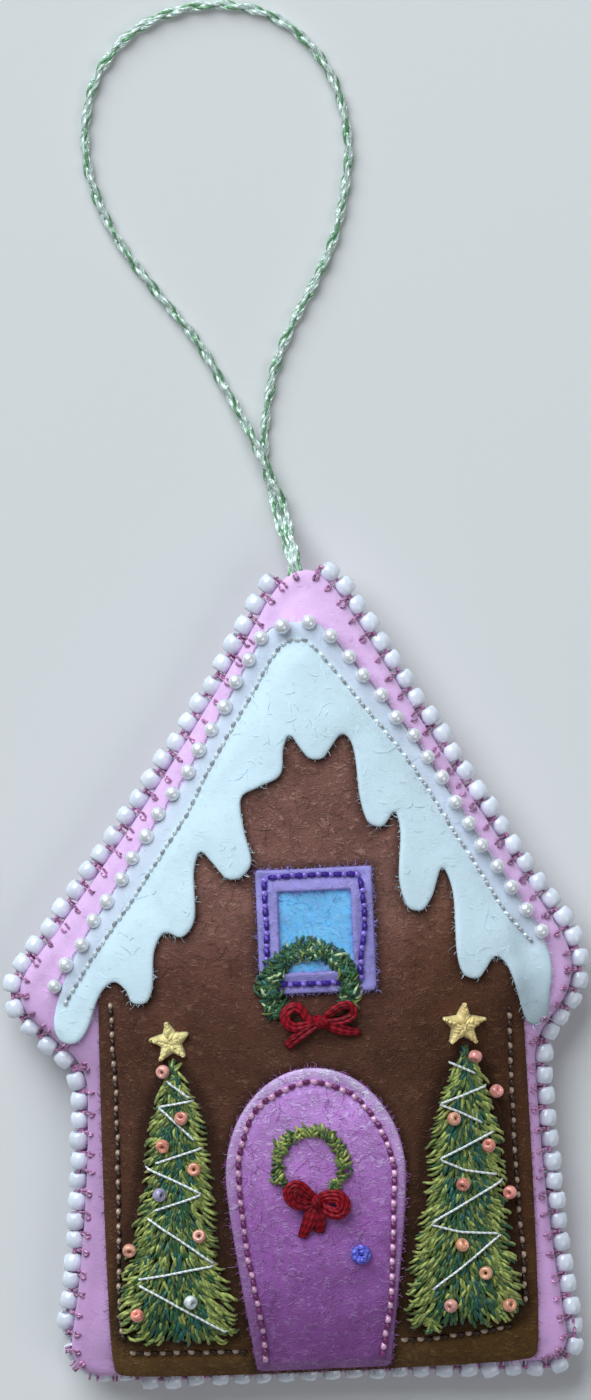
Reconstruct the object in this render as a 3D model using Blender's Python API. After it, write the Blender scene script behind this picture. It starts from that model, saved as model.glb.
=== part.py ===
"""Felt gingerbread house ornament, lying on its back with its front up.

A stuffed pillow of pink felt has the outline of a house. Its front carries shapes of brown,
white, lilac, blue and purple felt, embroidered trees, wreaths, bows and stars, and its seam
carries a row of glass beads. A cord loop leaves the seam at the gable.

The origin is under the centre of the ornament, on the surface that it lies on: +X to the
right of the front, +Y to the gable, +Z up. Lengths are in millimetres until a mesh is made.
"""
import math

import bmesh
import bpy
import numpy as np
from mathutils import Vector

MM = 0.001

# ---- driving dimensions (mm) ----
SEAM_HEIGHT = 6.5        # height of the seam that joins front and back
BODY_FELT = 1.2          # thickness of the pink felt
FRONT_RISE = 8.5         # how far the stuffed front bulges above its felt edge
BACK_RISE = 6.7          # how far the back would bulge if the surface did not flatten it
SOFT_EDGE = 0.6          # exponent of the bulge at the gable: smaller is steeper
STEEP_EDGE = 0.45        # exponent of the bulge at the base
STEEP_FROM = -35.0       # the bulge starts to steepen here and is steepest at STEEP_TO
STEEP_TO = -58.0
PATCH_FELT = 1.0         # thickness of the felt shapes on the front
PANE_FELT = 0.6
GAP = 0.3                # air between pieces that touch
GRID = 7.0               # spacing of the lines that facet every felt surface alike

BEAD_RADIUS = 1.55       # glass beads along the seam
BEAD_LENGTH = 1.7
BEAD_THREAD = 0.35
PEARL_RADIUS = 1.1       # pearls along the icing
PEARL_LENGTH = 1.3
PEARL_THREAD = 0.25
TREE_BEAD_RADIUS = 1.1
CORD_DIAMETER = 1.5

# Line of bead centres round the house: corner x, y, length trimmed off to round the corner,
# and how far the side after it bows outwards at its middle. Counter-clockwise from the gable.
BEAD_LINE = [
    (2.8, 69.8, 9.5, -2.0),
    (-47.0, -1.3, 8.2, 0.0),
    (-34.3, -13.2, 3.5, -1.0),
    (-38.3, -63.0, 9.0, -1.0),
    (40.8, -63.3, 7.0, -1.0),
    (37.9, -11.5, 3.5, 0.0),
    (46.9, -1.0, 9.1, 1.0),
]
# The strings of beads between the middles of those corners, and their numbers of beads.
BEAD_STRINGS = [
    ("beads_roof_left", 22),
    ("beads_eave_left", 4),
    ("beads_wall_left", 15),
    ("beads_base", 22),
    ("beads_wall_right", 15),
    ("beads_eave_right", 4),
    ("beads_roof_right", 21),
]
GABLE_BARE = 4.6         # length of seam each side of the gable with no beads, for the cord

# The brown front: corners as above. Its upper edge lies hidden under the icing.
HOUSE = [
    (2.6, 53.6, 4.0, 0.0),
    (-30.5, 7.6, 3.0, 0.0),
    (-31.0, -60.4, 2.0, 0.0),
    (35.2, -60.4, 2.0, 0.0),
    (34.6, 8.6, 3.0, 0.0),
]
# Points on the edge of the white icing, counter-clockwise from the gable: the outer edge
# down to the left tip, then each notch and drip to the right tip.
ICING = [
    (-1.2, 55.2), (-4.4, 51.0), (-14.4, 34.2), (-24.9, 19.0), (-34.2, 5.0), (-37.5, -2.8),
    (-37.8, -5.6), (-35.6, -7.6), (-32.6, -5.2), (-30.2, -0.2), (-28.2, 1.4), (-26.4, 0.0),
    (-24.5, -2.1), (-22.3, 0.2), (-21.7, 6.2), (-20.0, 8.9), (-17.4, 8.2), (-15.3, 10.8),
    (-15.0, 18.4), (-13.9, 21.2), (-12.2, 19.6), (-9.0, 16.9), (-6.1, 19.4), (-7.0, 24.6),
    (-7.2, 29.4), (-4.4, 31.0), (-1.0, 32.8), (-0.3, 37.0), (0.7, 38.8), (2.2, 36.8),
    (4.6, 34.9), (6.8, 36.4), (8.8, 38.6), (10.4, 36.6), (11.2, 28.4), (13.2, 24.2),
    (15.4, 25.0), (16.4, 26.2), (17.2, 23.4), (16.7, 15.6), (18.9, 10.8), (21.7, 12.8),
    (23.4, 17.0), (24.9, 13.4), (25.2, 3.4), (27.2, -0.3), (29.6, 1.0), (31.1, 2.8),
    (33.0, 1.0), (35.2, -6.0), (37.4, -7.6), (39.3, -4.2), (38.9, 4.4), (35.4, 11.0),
    (28.2, 23.4), (19.2, 38.0), (8.6, 52.4), (6.0, 55.4), (2.4, 56.0),
]
PEARLS_LEFT = [(0.1, 55.7), (-3.2, 53.5), (-13.0, 37.3), (-23.6, 21.6), (-37.6, 0.7)]
PEARLS_RIGHT = [(4.4, 56.0), (8.5, 52.9), (20.5, 36.5), (30.4, 19.3), (38.3, 6.6)]
PEARL_COUNTS = (19, 16)

WINDOW_LEFT, WINDOW_RIGHT = -5.6, 12.5
WINDOW_BASE, WINDOW_TOP = -1.1, 18.2
WINDOW_BORDER = 3.4
PANE_MARGIN = 1.6        # how far the pane reaches under the frame

DOOR_MIDDLE, DOOR_HALF = 1.8, 14.0
DOOR_BASE, DOOR_SPRING, DOOR_TOP = -60.4, -30.0, -12.8
DOOR_FOOT_HALF = 10.4

TREE_LEFT = [
    (-19.8, -11.3), (-22.6, -15.5), (-24.8, -22.0), (-26.0, -31.0), (-27.6, -41.0), (-30.0, -53.6),
    (-20.0, -54.6), (-11.0, -54.2), (-12.6, -43.0), (-13.8, -30.0), (-15.2, -17.5),
]
TREE_RIGHT = [
    (26.2, -11.3), (22.6, -14.5), (19.6, -22.5), (17.6, -33.5), (16.2, -43.5), (14.8, -53.9),
    (24.5, -54.6), (33.4, -53.2), (32.2, -40.0), (31.4, -24.0), (28.8, -14.6),
]
STARS = [("star_left", -19.8, -7.4, 2.9, 8.0), ("star_right", 25.6, -6.8, 3.1, -4.0)]
STAR_WAIST = 0.46        # inner over outer radius
BEADS_LEFT = [
    (-20.7, -12.6), (-18.3, -20.0), (-21.4, -24.3), (-16.8, -28.1), (-22.1, -31.9),
    (-16.5, -38.1), (-27.1, -40.3), (-18.3, -48.0), (-26.6, -50.0),
]
BEADS_RIGHT = [
    (26.9, -12.4), (29.9, -18.3), (23.2, -22.0), (28.3, -26.6), (24.2, -32.3),
    (31.2, -34.1), (23.7, -41.3), (27.3, -45.8), (21.9, -50.3), (30.6, -51.0),
]
# Wreaths: centre x, y, radius, half width, and the arc's start and end in degrees.
WREATH_WINDOW = (2.2, -0.4, 6.4, 1.8, -22.0, 212.0)
WREATH_DOOR = (1.0, -27.8, 5.4, 1.2, -48.0, 210.0)
WREATH_HEIGHT = 1.8
BOW_WINDOW = [
    (3.6, -4.4), (1.2, -3.3), (-1.4, -3.3), (-2.2, -5.2), (-1.2, -6.6), (-2.9, -8.4), (-1.2, -9.6),
    (3.2, -6.8), (8.6, -8.4), (9.4, -7.0), (7.2, -6.0), (8.5, -4.0), (6.8, -2.6),
]
BOW_DOOR = [
    (1.6, -32.4), (-1.0, -30.7), (-2.8, -32.4), (-1.4, -33.6), (0.9, -34.4), (-1.2, -38.4),
    (0.2, -38.8), (1.6, -36.6), (2.0, -38.0), (2.9, -37.4), (2.9, -35.6), (5.6, -36.2), (6.4, -33.6),
    (3.4, -32.0),
]
BOW_HEIGHT = 1.4
KNOB = (8.2, -41.7)
KNOB_RADIUS = 1.4

# Route of the cord: from the gable seam down to the surface through the twisted neck, round
# the loop, and back through the neck to the seam (x, y, z of its centre line).
CORD_ROUTE = [
    (1.7, 64.6, 6.1), (1.0, 66.6, 5.0), (0.3, 69.2, 3.3), (-0.1, 72.2, 1.6), (0.0, 75.4, 0.9),
    (-0.6, 78.8, 0.8), (-1.3, 82.2, 0.8), (-1.0, 86.0, 0.8), (-0.2, 90.6, 0.8), (1.2, 95.6, 0.8),
    (4.2, 102.0, 0.8), (8.2, 108.8, 0.8), (11.2, 115.4, 0.8), (13.3, 124.0, 0.8),
    (13.7, 131.0, 0.8), (11.9, 139.2, 0.8), (7.6, 145.8, 0.8), (1.4, 150.2, 0.8),
    (-6.4, 151.7, 0.8), (-14.0, 150.4, 0.8), (-20.6, 146.6, 0.8), (-25.2, 140.2, 0.8),
    (-27.0, 131.6, 0.8), (-25.9, 123.6, 0.8), (-22.4, 115.4, 0.8), (-16.8, 107.2, 0.8),
    (-11.0, 99.4, 0.8), (-7.0, 92.0, 0.9), (-3.9, 85.8, 1.7), (-1.7, 81.8, 2.5), (0.1, 78.4, 2.5),
    (1.4, 75.2, 2.1), (1.9, 72.2, 2.1), (2.3, 69.2, 3.6), (3.0, 66.6, 5.3), (3.5, 64.6, 6.4),
]
CORD_POINTS = 58


# ---- outlines ----
def rounded_outline(corners, step):
    """Closed outline with bowed sides and rounded corners, and where each corner's middle is."""
    points = []
    middles = []
    count = len(corners)

    def side(i, t):
        x0, y0, _, bow = corners[i]
        x1, y1 = corners[(i + 1) % count][:2]
        length = math.hypot(x1 - x0, y1 - y0)
        swell = bow * 4.0 * t * (1.0 - t)
        across = ((y1 - y0) / length, -(x1 - x0) / length)
        return (x0 + (x1 - x0) * t + across[0] * swell, y0 + (y1 - y0) * t + across[1] * swell)

    for i in range(count):
        x0, y0, trim0, _ = corners[i]
        x1, y1, trim1, _ = corners[(i + 1) % count]
        length = math.hypot(x1 - x0, y1 - y0)
        before = corners[i - 1]
        length_before = math.hypot(x0 - before[0], y0 - before[1])
        arrive = side(i - 1 if i else count - 1, 1.0 - trim0 / length_before)
        leave = side(i, trim0 / length)
        turns = max(2, round(1.6 * trim0 / step))
        for k in range(turns):
            t = k / turns
            points.append(tuple(
                (1 - t) ** 2 * a + 2 * t * (1 - t) * c + t * t * b
                for a, c, b in zip(arrive, (x0, y0), leave)))
            if k == turns // 2:
                middles.append(len(points) - 1)
        start, end = trim0 / length, 1.0 - trim1 / length
        pieces = max(1, round((end - start) * length / step))
        for k in range(pieces):
            points.append(side(i, start + (end - start) * k / pieces))
    return points, middles


def smooth_outline(points, pieces):
    """Closed curve through the points, each stretch cut into that many pieces."""
    smooth = []
    count = len(points)
    for i in range(count):
        p0, p1, p2, p3 = (points[(i + k) % count] for k in (-1, 0, 1, 2))
        for k in range(pieces):
            smooth.append(spline(p0, p1, p2, p3, k / pieces))
    return smooth


def spline(p0, p1, p2, p3, t):
    """Point at t from p1 to p2 on the Catmull-Rom curve through four points."""
    return tuple(
        0.5 * (2 * b + (c - a) * t + (2 * a - 5 * b + 4 * c - d) * t * t
               + (3 * b - a - 3 * c + d) * t ** 3)
        for a, b, c, d in zip(p0, p1, p2, p3))


def along(route, count):
    """That many points, evenly spaced, on the smooth open curve through the route."""
    ends = [tuple(2 * a - b for a, b in zip(route[0], route[1]))]
    last = [tuple(2 * a - b for a, b in zip(route[-1], route[-2]))]
    path = ends + list(route) + last
    fine = [spline(*path[i:i + 4], k / 16) for i in range(len(path) - 3) for k in range(16)]
    fine.append(tuple(route[-1]))
    steps = np.linalg.norm(np.diff(np.array(fine), axis=0), axis=1)
    reach = np.concatenate([[0.0], np.cumsum(steps)])
    places = np.linspace(0.0, reach[-1], count)
    return np.column_stack([np.interp(places, reach, axis) for axis in np.array(fine).T])


def inset(outline, distance):
    """The outline moved inwards (to the left of its counter-clockwise direction)."""
    ring = np.array(outline)
    ahead = np.roll(ring, -1, axis=0) - np.roll(ring, 1, axis=0)
    ahead /= np.linalg.norm(ahead, axis=1)[:, None]
    return [tuple(p) for p in ring + distance * np.column_stack([-ahead[:, 1], ahead[:, 0]])]


def star_outline(x, y, radius, turn):
    """Five-pointed star."""
    points = []
    for k in range(10):
        angle = math.radians(turn + 90.0 + 36.0 * k)
        reach = radius if k % 2 == 0 else radius * STAR_WAIST
        points.append((x + reach * math.cos(angle), y + reach * math.sin(angle)))
    return points


def door_outline():
    """Straight sides that widen upwards, under an arch."""
    points = [(DOOR_MIDDLE - DOOR_FOOT_HALF, DOOR_BASE), (DOOR_MIDDLE + DOOR_FOOT_HALF, DOOR_BASE)]
    for k in range(13):
        angle = math.pi * k / 12
        points.append((DOOR_MIDDLE + DOOR_HALF * math.cos(angle),
                       DOOR_SPRING + (DOOR_TOP - DOOR_SPRING) * math.sin(angle)))
    return points


def rectangle(margin):
    """The window's outline, moved inwards by a margin."""
    left, right = WINDOW_LEFT + margin, WINDOW_RIGHT - margin
    base, top = WINDOW_BASE + margin, WINDOW_TOP - margin
    return [(left, base), (right, base), (right, top), (left, top)]


# ---- the stuffed surface ----
def contains(outline, x, y):
    """Which of the points are inside the outline."""
    inside = np.zeros(np.shape(x), bool)
    count = len(outline)
    for i in range(count):
        x0, y0 = outline[i]
        x1, y1 = outline[(i + 1) % count]
        if y0 == y1:
            continue
        crosses = (y0 > y) != (y1 > y)
        inside ^= crosses & (x < x0 + (x1 - x0) * (y - y0) / (y1 - y0))
    return inside


class Membrane:
    """A sheet held at the outline and blown up evenly, solved on a coarse to a fine grid."""

    HALF_X, HALF_Y = 51.0, 72.0
    CELLS = (3.0, 1.5, 0.75)
    SWEEPS = 900

    def __init__(self, outline):
        self.rise = None
        for cell in self.CELLS:
            xs = np.arange(-self.HALF_X, self.HALF_X + cell / 2, cell)
            ys = np.arange(-self.HALF_Y, self.HALF_Y + cell / 2, cell)
            x, y = np.meshgrid(xs, ys)
            start = np.zeros_like(x) if self.rise is None else self.sample(x, y)
            self.cell = cell
            self.rise = self.solve(start, contains(outline, x, y))
        self.rise /= self.rise.max()

    def solve(self, rise, inside):
        within = inside[1:-1, 1:-1]
        for _ in range(self.SWEEPS):
            mean = (rise[:-2, 1:-1] + rise[2:, 1:-1] + rise[1:-1, :-2] + rise[1:-1, 2:]) / 4.0
            rise[1:-1, 1:-1] = np.where(within, mean + self.cell ** 2 / 4.0, 0.0)
        return rise

    def sample(self, x, y):
        """Height of the sheet at the points, between the grid's values."""
        rows, columns = self.rise.shape
        u = np.clip((np.asarray(x) + self.HALF_X) / self.cell, 0, columns - 1.001)
        v = np.clip((np.asarray(y) + self.HALF_Y) / self.cell, 0, rows - 1.001)
        i, j = u.astype(int), v.astype(int)
        a, b = u - i, v - j
        low = self.rise[j, i] * (1 - a) + self.rise[j, i + 1] * a
        high = self.rise[j + 1, i] * (1 - a) + self.rise[j + 1, i + 1] * a
        return low * (1 - b) + high * b


def front_top(x, y):
    """Height of the pink front's outer face."""
    share = np.clip((y - STEEP_FROM) / (STEEP_TO - STEEP_FROM), 0.0, 1.0)
    power = SOFT_EDGE + (STEEP_EDGE - SOFT_EDGE) * share
    return SEAM_HEIGHT + BODY_FELT + FRONT_RISE * np.maximum(SHEET.sample(x, y), 0.0) ** power


def back_face(x, y):
    """Height of the back's outer face, flat where it rests."""
    bulge = BACK_RISE * np.maximum(SHEET.sample(x, y), 0.0) ** SOFT_EDGE
    return np.maximum(SEAM_HEIGHT - BODY_FELT - bulge, 0.0)


def on_front(lift):
    """Surface that stands off the pink front by lift, measured square to its slope."""
    def height(x, y):
        reach = 0.8
        slope_x = (front_top(x + reach, y) - front_top(x - reach, y)) / (2 * reach)
        slope_y = (front_top(x, y + reach) - front_top(x, y - reach)) / (2 * reach)
        steepness = np.minimum(np.sqrt(1.0 + slope_x ** 2 + slope_y ** 2), 1.8)
        return front_top(x, y) + lift * steepness
    return height


# ---- making objects ----
def clear_scene():
    for item in list(bpy.data.objects):
        bpy.data.objects.remove(item, do_unlink=True)


def material(name, colour, roughness, metallic=0.0):
    finish = bpy.data.materials.new(name)
    finish.use_nodes = True
    shader = finish.node_tree.nodes["Principled BSDF"]
    shader.inputs["Base Color"].default_value = (*colour, 1.0)
    shader.inputs["Roughness"].default_value = roughness
    shader.inputs["Metallic"].default_value = metallic
    return finish


def add_object(name, shape, finish):
    """Object from a bmesh in millimetres."""
    bmesh.ops.scale(shape, vec=(MM, MM, MM), verts=shape.verts)
    bmesh.ops.recalc_face_normals(shape, faces=shape.faces)
    mesh = bpy.data.meshes.new(name)
    shape.to_mesh(mesh)
    shape.free()
    mesh.materials.append(finish)
    item = bpy.data.objects.new(name, mesh)
    bpy.context.scene.collection.objects.link(item)
    item.parent = ORNAMENT
    return item


def faceted(outline, hole=None):
    """Flat mesh inside the outline, cut along the common grid into triangles."""
    flat = bmesh.new()
    rings = [outline] if hole is None else [outline, hole]
    edges = []
    for ring in rings:
        corners = [flat.verts.new((x, y, 0.0)) for x, y in ring]
        edges += [flat.edges.new((a, b)) for a, b in zip(corners, corners[1:] + corners[:1])]
    if hole is None:
        flat.faces.new(corners)
    else:
        bmesh.ops.triangle_fill(flat, edges=edges, use_beauty=True)
    near = 0.04
    for axis in (0, 1):
        low = min(p[axis] for p in outline)
        high = max(p[axis] for p in outline)
        normal = (1.0, 0.0, 0.0) if axis == 0 else (0.0, 1.0, 0.0)
        for k in range(math.ceil(low / GRID), math.floor(high / GRID) + 1):
            place = tuple(k * GRID * n for n in normal)
            parts = flat.verts[:] + flat.edges[:] + flat.faces[:]
            bmesh.ops.bisect_plane(flat, geom=parts, dist=near, plane_co=place, plane_no=normal)
    bmesh.ops.triangulate(flat, faces=flat.faces[:])
    bmesh.ops.recalc_face_normals(flat, faces=flat.faces)
    return flat


def between(flat, low, high):
    """Solid between two height fields over a flat mesh."""
    flat.verts.index_update()
    x = np.array([v.co.x for v in flat.verts])
    y = np.array([v.co.y for v in flat.verts])
    rim = np.array([v.is_boundary for v in flat.verts])
    lows, highs = low(x, y, rim), high(x, y, rim)
    solid = bmesh.new()
    under = [solid.verts.new((a, b, c)) for a, b, c in zip(x, y, lows)]
    over = [solid.verts.new((a, b, c)) for a, b, c in zip(x, y, highs)]
    for face in flat.faces:
        loop = [v.index for v in face.verts]
        solid.faces.new([over[i] for i in loop])
        solid.faces.new([under[i] for i in reversed(loop)])
    for edge in flat.edges:
        if edge.is_boundary:
            a, b = (v.index for v in edge.verts)
            solid.faces.new((under[a], under[b], over[b]))
            solid.faces.new((under[a], over[b], over[a]))
    flat.free()
    return solid


def felt_patch(name, outline, lift, thickness, finish, hole=None):
    """Felt shape that follows the front, its lower face at lift above the pink felt."""
    low, high = on_front(lift), on_front(lift + thickness)
    solid = between(faceted(outline, hole),
                    lambda x, y, rim: low(x, y), lambda x, y, rim: high(x, y))
    return add_object(name, solid, finish)


def tube(path, radii, sides, finish, name, flat_factor=1.0):
    """Closed tube through the path's points, with a radius at each of them."""
    solid = bmesh.new()
    path = [Vector(p) for p in path]
    rings = []
    for i, (centre, radius) in enumerate(zip(path, radii)):
        ahead = (path[min(i + 1, len(path) - 1)] - path[max(i - 1, 0)]).normalized()
        across = ahead.cross(Vector((0.0, 0.0, 1.0))).normalized()
        up = across.cross(ahead) * flat_factor
        ring = []
        for k in range(sides):
            angle = 2.0 * math.pi * (k + 0.5) / sides
            ring.append(solid.verts.new(
                centre + radius * (math.cos(angle) * across + math.sin(angle) * up)))
        rings.append(ring)
    for first, second in zip(rings, rings[1:]):
        for k in range(sides):
            after = (k + 1) % sides
            solid.faces.new((first[k], first[after], second[after], second[k]))
    solid.faces.new(rings[0])
    solid.faces.new(rings[-1])
    bmesh.ops.triangulate(solid, faces=solid.faces[:])
    return add_object(name, solid, finish)


def ball(name, centre, radius, height, finish):
    solid = bmesh.new()
    bmesh.ops.create_uvsphere(solid, u_segments=6, v_segments=4, radius=radius)
    bmesh.ops.scale(solid, vec=(1.0, 1.0, height / radius), verts=solid.verts)
    bmesh.ops.translate(solid, vec=centre, verts=solid.verts)
    bmesh.ops.triangulate(solid, faces=solid.faces[:])
    return add_object(name, solid, finish)


def bead_string(name, path_at, length, count, radius, bead_length, thread, sides, finish):
    """Beads on their thread as one solid: the tube is wide over a bead and thin between two."""
    pitch = length / count
    places = [(0.0, thread)]
    for k in range(count):
        middle = (k + 0.5) * pitch
        places += [(middle - bead_length / 2, radius), (middle + bead_length / 2, radius)]
        places.append((min(middle + pitch / 2, length), thread))
    return tube([path_at(s) for s, _ in places], [r for _, r in places], sides, finish, name)


# ---- the pieces ----
def make_body():
    pink = material("pink_felt", (0.70, 0.42, 0.66), 0.95)

    def high(x, y, rim):
        return np.where(rim, SEAM_HEIGHT + BODY_FELT, front_top(x, y))

    def low(x, y, rim):
        return np.where(rim, SEAM_HEIGHT - BODY_FELT, back_face(x, y))

    add_object("pink_body", between(faceted(BODY_OUTLINE), low, high), pink)


def make_front():
    """House front, icing, window and door."""
    first = GAP
    second = first + PATCH_FELT + GAP
    third = second + PANE_FELT + GAP
    brown = material("brown_felt", (0.12, 0.05, 0.04), 0.95)
    white = material("white_felt", (0.72, 0.84, 0.92), 0.95)
    lilac = material("lilac_felt", (0.34, 0.22, 0.62), 0.95)
    blue = material("blue_felt", (0.18, 0.45, 0.84), 0.95)
    purple = material("purple_felt", (0.33, 0.12, 0.42), 0.95)
    felt_patch("house_front", rounded_outline(HOUSE, 6.0)[0], first, PATCH_FELT, brown)
    felt_patch("icing", smooth_outline(ICING, 1), second, PATCH_FELT, white)
    felt_patch("door", door_outline(), second, PATCH_FELT, purple)
    felt_patch("window_pane", rectangle(WINDOW_BORDER - PANE_MARGIN), second, PANE_FELT, blue)
    felt_patch("window_frame", rectangle(0.0), third, PATCH_FELT, lilac,
               hole=rectangle(WINDOW_BORDER))


def make_embroidery():
    """Satin-stitched trees and stars, wreaths, bows and the knotted door knob."""
    on_house = 2 * GAP + PATCH_FELT
    on_door = on_house + PATCH_FELT + GAP
    on_frame = on_door + PANE_FELT + GAP
    green = material("green_thread", (0.13, 0.20, 0.04), 0.6)
    gold = material("gold_thread", (0.80, 0.62, 0.25), 0.4)
    red = material("red_thread", (0.30, 0.01, 0.02), 0.6)
    violet = material("violet_thread", (0.10, 0.08, 0.62), 0.5)
    felt_patch("tree_left", TREE_LEFT, on_house, PATCH_FELT, green)
    felt_patch("tree_right", TREE_RIGHT, on_house, PATCH_FELT, green)
    for name, x, y, radius, turn in STARS:
        felt_patch(name, star_outline(x, y, radius, turn), on_house, PATCH_FELT, gold)
    for name, wreath, lift in (("wreath_window", WREATH_WINDOW, on_frame),
                               ("wreath_door", WREATH_DOOR, on_door)):
        x, y, radius, half, start, end = wreath
        height = on_front(lift + WREATH_HEIGHT / 2 + GAP)
        path = []
        for k in range(15):
            angle = math.radians(start + (end - start) * k / 14)
            place = (x + radius * math.cos(angle), y + radius * math.sin(angle))
            path.append((*place, float(height(*place))))
        tube(path, [half] * len(path), 6, green, name, WREATH_HEIGHT / (2 * half))
    felt_patch("bow_window", BOW_WINDOW, on_frame, BOW_HEIGHT, red)
    felt_patch("bow_door", BOW_DOOR, on_door, BOW_HEIGHT, red)
    knob_centre = float(on_front(on_door + KNOB_RADIUS * 0.7 + GAP)(*KNOB))
    ball("door_knob", (*KNOB, knob_centre), KNOB_RADIUS, KNOB_RADIUS * 0.7, violet)


def make_tree_beads():
    coral = material("coral_glass", (0.80, 0.30, 0.18), 0.12)
    height = on_front(3 * GAP + 2 * PATCH_FELT + TREE_BEAD_RADIUS)
    for side, places in (("left", BEADS_LEFT), ("right", BEADS_RIGHT)):
        for k, (x, y) in enumerate(places, 1):
            centre = (x, y, float(height(x, y)))
            ball(f"tree_bead_{side}_{k}", centre, TREE_BEAD_RADIUS, TREE_BEAD_RADIUS, coral)


def make_pearls():
    """The two strings of pearls that lie along the icing's outer edge."""
    nacre = material("pearl", (0.82, 0.84, 0.86), 0.2)
    height = on_front(3 * GAP + 2 * PATCH_FELT + PEARL_RADIUS)
    for name, route, count in (("pearls_left", PEARLS_LEFT, PEARL_COUNTS[0]),
                               ("pearls_right", PEARLS_RIGHT, PEARL_COUNTS[1])):
        line = along(route, 200)
        reach = np.concatenate([[0.0], np.cumsum(np.linalg.norm(np.diff(line, axis=0), axis=1))])

        def path_at(s):
            x, y = (float(np.interp(s, reach, line[:, axis])) for axis in (0, 1))
            return (x, y, float(height(x, y)))

        bead_string(name, path_at, reach[-1], count, PEARL_RADIUS, PEARL_LENGTH, PEARL_THREAD,
                    5, nacre)


def make_edge_beads():
    """Strings of beads round the seam, one for each side of the house."""
    glass = material("white_glass", (0.85, 0.88, 0.95), 0.15)
    line, middles = rounded_outline(BEAD_LINE, 1.0)
    turned = np.array(line[middles[0]:] + line[:middles[0] + 1])
    reach = np.concatenate([[0.0], np.cumsum(np.linalg.norm(np.diff(turned, axis=0), axis=1))])
    corners = [reach[m - middles[0]] for m in middles] + [reach[-1]]
    for i, (name, count) in enumerate(BEAD_STRINGS):
        start = corners[i] + (GABLE_BARE if i == 0 else GAP / 2)
        end = corners[i + 1] - (GABLE_BARE if i == len(BEAD_STRINGS) - 1 else GAP / 2)

        def path_at(s):
            x, y = (float(np.interp(start + s, reach, turned[:, axis])) for axis in (0, 1))
            return (x, y, SEAM_HEIGHT)

        bead_string(name, path_at, end - start, count, BEAD_RADIUS, BEAD_LENGTH, BEAD_THREAD,
                    6, glass)


def make_cord():
    """Twisted cord, doubled at its neck, as one plain tube."""
    curve = bpy.data.curves.new("hanging_cord", "CURVE")
    curve.dimensions = "3D"
    curve.bevel_depth = CORD_DIAMETER / 2 * MM
    curve.bevel_resolution = 2
    curve.use_fill_caps = True
    points = along(CORD_ROUTE, CORD_POINTS)
    route = curve.splines.new("POLY")
    route.points.add(len(points) - 1)
    for point, place in zip(route.points, points):
        point.co = (*(place * MM), 1.0)
    curve.materials.append(material("green_metallic_cord", (0.32, 0.58, 0.40), 0.35, 0.6))
    item = bpy.data.objects.new("hanging_cord", curve)
    bpy.context.scene.collection.objects.link(item)
    item.parent = ORNAMENT


clear_scene()
ORNAMENT = bpy.data.objects.new("ornament", None)
bpy.context.scene.collection.objects.link(ORNAMENT)
BODY_OUTLINE = inset(rounded_outline(BEAD_LINE, 4.5)[0], BEAD_RADIUS + GAP)
SHEET = Membrane(inset(rounded_outline(BEAD_LINE, 1.5)[0], BEAD_RADIUS + GAP))
make_body()
make_front()
make_embroidery()
make_tree_beads()
make_pearls()
make_edge_beads()
make_cord()
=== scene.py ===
"""Felt gingerbread house ornament: its finished pieces, a studio and a camera.

The ornament lies on its back with its front up, its gable to +Y and its cord loop beyond the
gable. The felt is laid in layers on the stuffed body, and each layer raises a relief of the
front that the next one, and the embroidery, lies on. Lengths in this file are millimetres, and
become metres when a mesh is made.
"""
import math
from functools import partial

import bpy
import numpy as np
from bpy.props import FloatProperty, FloatVectorProperty, IntProperty, PointerProperty
from bpy.types import Operator, Panel, PropertyGroup
from mathutils import Matrix, Vector
from mathutils.bvhtree import BVHTree


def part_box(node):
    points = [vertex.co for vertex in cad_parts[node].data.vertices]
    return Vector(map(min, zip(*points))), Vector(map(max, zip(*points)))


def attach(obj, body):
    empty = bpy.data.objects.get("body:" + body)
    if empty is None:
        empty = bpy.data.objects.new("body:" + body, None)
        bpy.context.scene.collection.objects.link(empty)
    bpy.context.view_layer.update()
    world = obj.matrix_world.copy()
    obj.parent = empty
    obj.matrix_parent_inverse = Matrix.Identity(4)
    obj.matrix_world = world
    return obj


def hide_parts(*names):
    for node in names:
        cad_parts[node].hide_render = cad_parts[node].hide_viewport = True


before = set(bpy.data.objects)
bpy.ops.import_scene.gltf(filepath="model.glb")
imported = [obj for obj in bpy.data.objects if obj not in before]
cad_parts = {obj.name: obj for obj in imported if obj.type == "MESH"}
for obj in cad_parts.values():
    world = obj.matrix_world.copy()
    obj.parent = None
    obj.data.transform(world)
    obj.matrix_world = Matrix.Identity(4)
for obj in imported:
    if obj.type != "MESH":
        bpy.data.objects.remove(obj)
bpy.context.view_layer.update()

bl_info = {
    "name": "Felt gingerbread house ornament",
    "version": (1, 0, 0),
    "blender": (4, 5, 0),
    "location": "3D View > Sidebar > Ornament",
    "description": "Makes a stuffed, beaded and embroidered felt house that hangs on a cord",
    "category": "Object",
}

MM = 0.001

# ---- the design's own lines, in millimetres ----
# Line of bead centres round the house: corner x, y, length trimmed off to round the corner,
# and how far the side after it bows outwards. Counter-clockwise from the gable.
BEAD_LINE = [
    (4.0, 71.6, 15.5, -2.3),
    (-47.0, -1.3, 8.2, 0.0),
    (-34.3, -13.2, 3.5, -1.3),
    (-40.2, -63.0, 9.5, -1.0),
    (42.0, -63.5, 7.5, -1.0),
    (37.9, -11.5, 3.5, 0.0),
    (46.9, -1.0, 9.1, -0.3),
]
BEAD_STRINGS = [
    ("beads_roof_left", 22),
    ("beads_eave_left", 4),
    ("beads_wall_left", 15),
    ("beads_base", 22),
    ("beads_wall_right", 15),
    ("beads_eave_right", 4),
    ("beads_roof_right", 22),
]
GABLE_BARE = (5.3, 2.4)  # seam left and right of the gable's middle that carries no beads
BEAD_CLEARANCE = 1.3     # from the felt's edge to the bead centres
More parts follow.
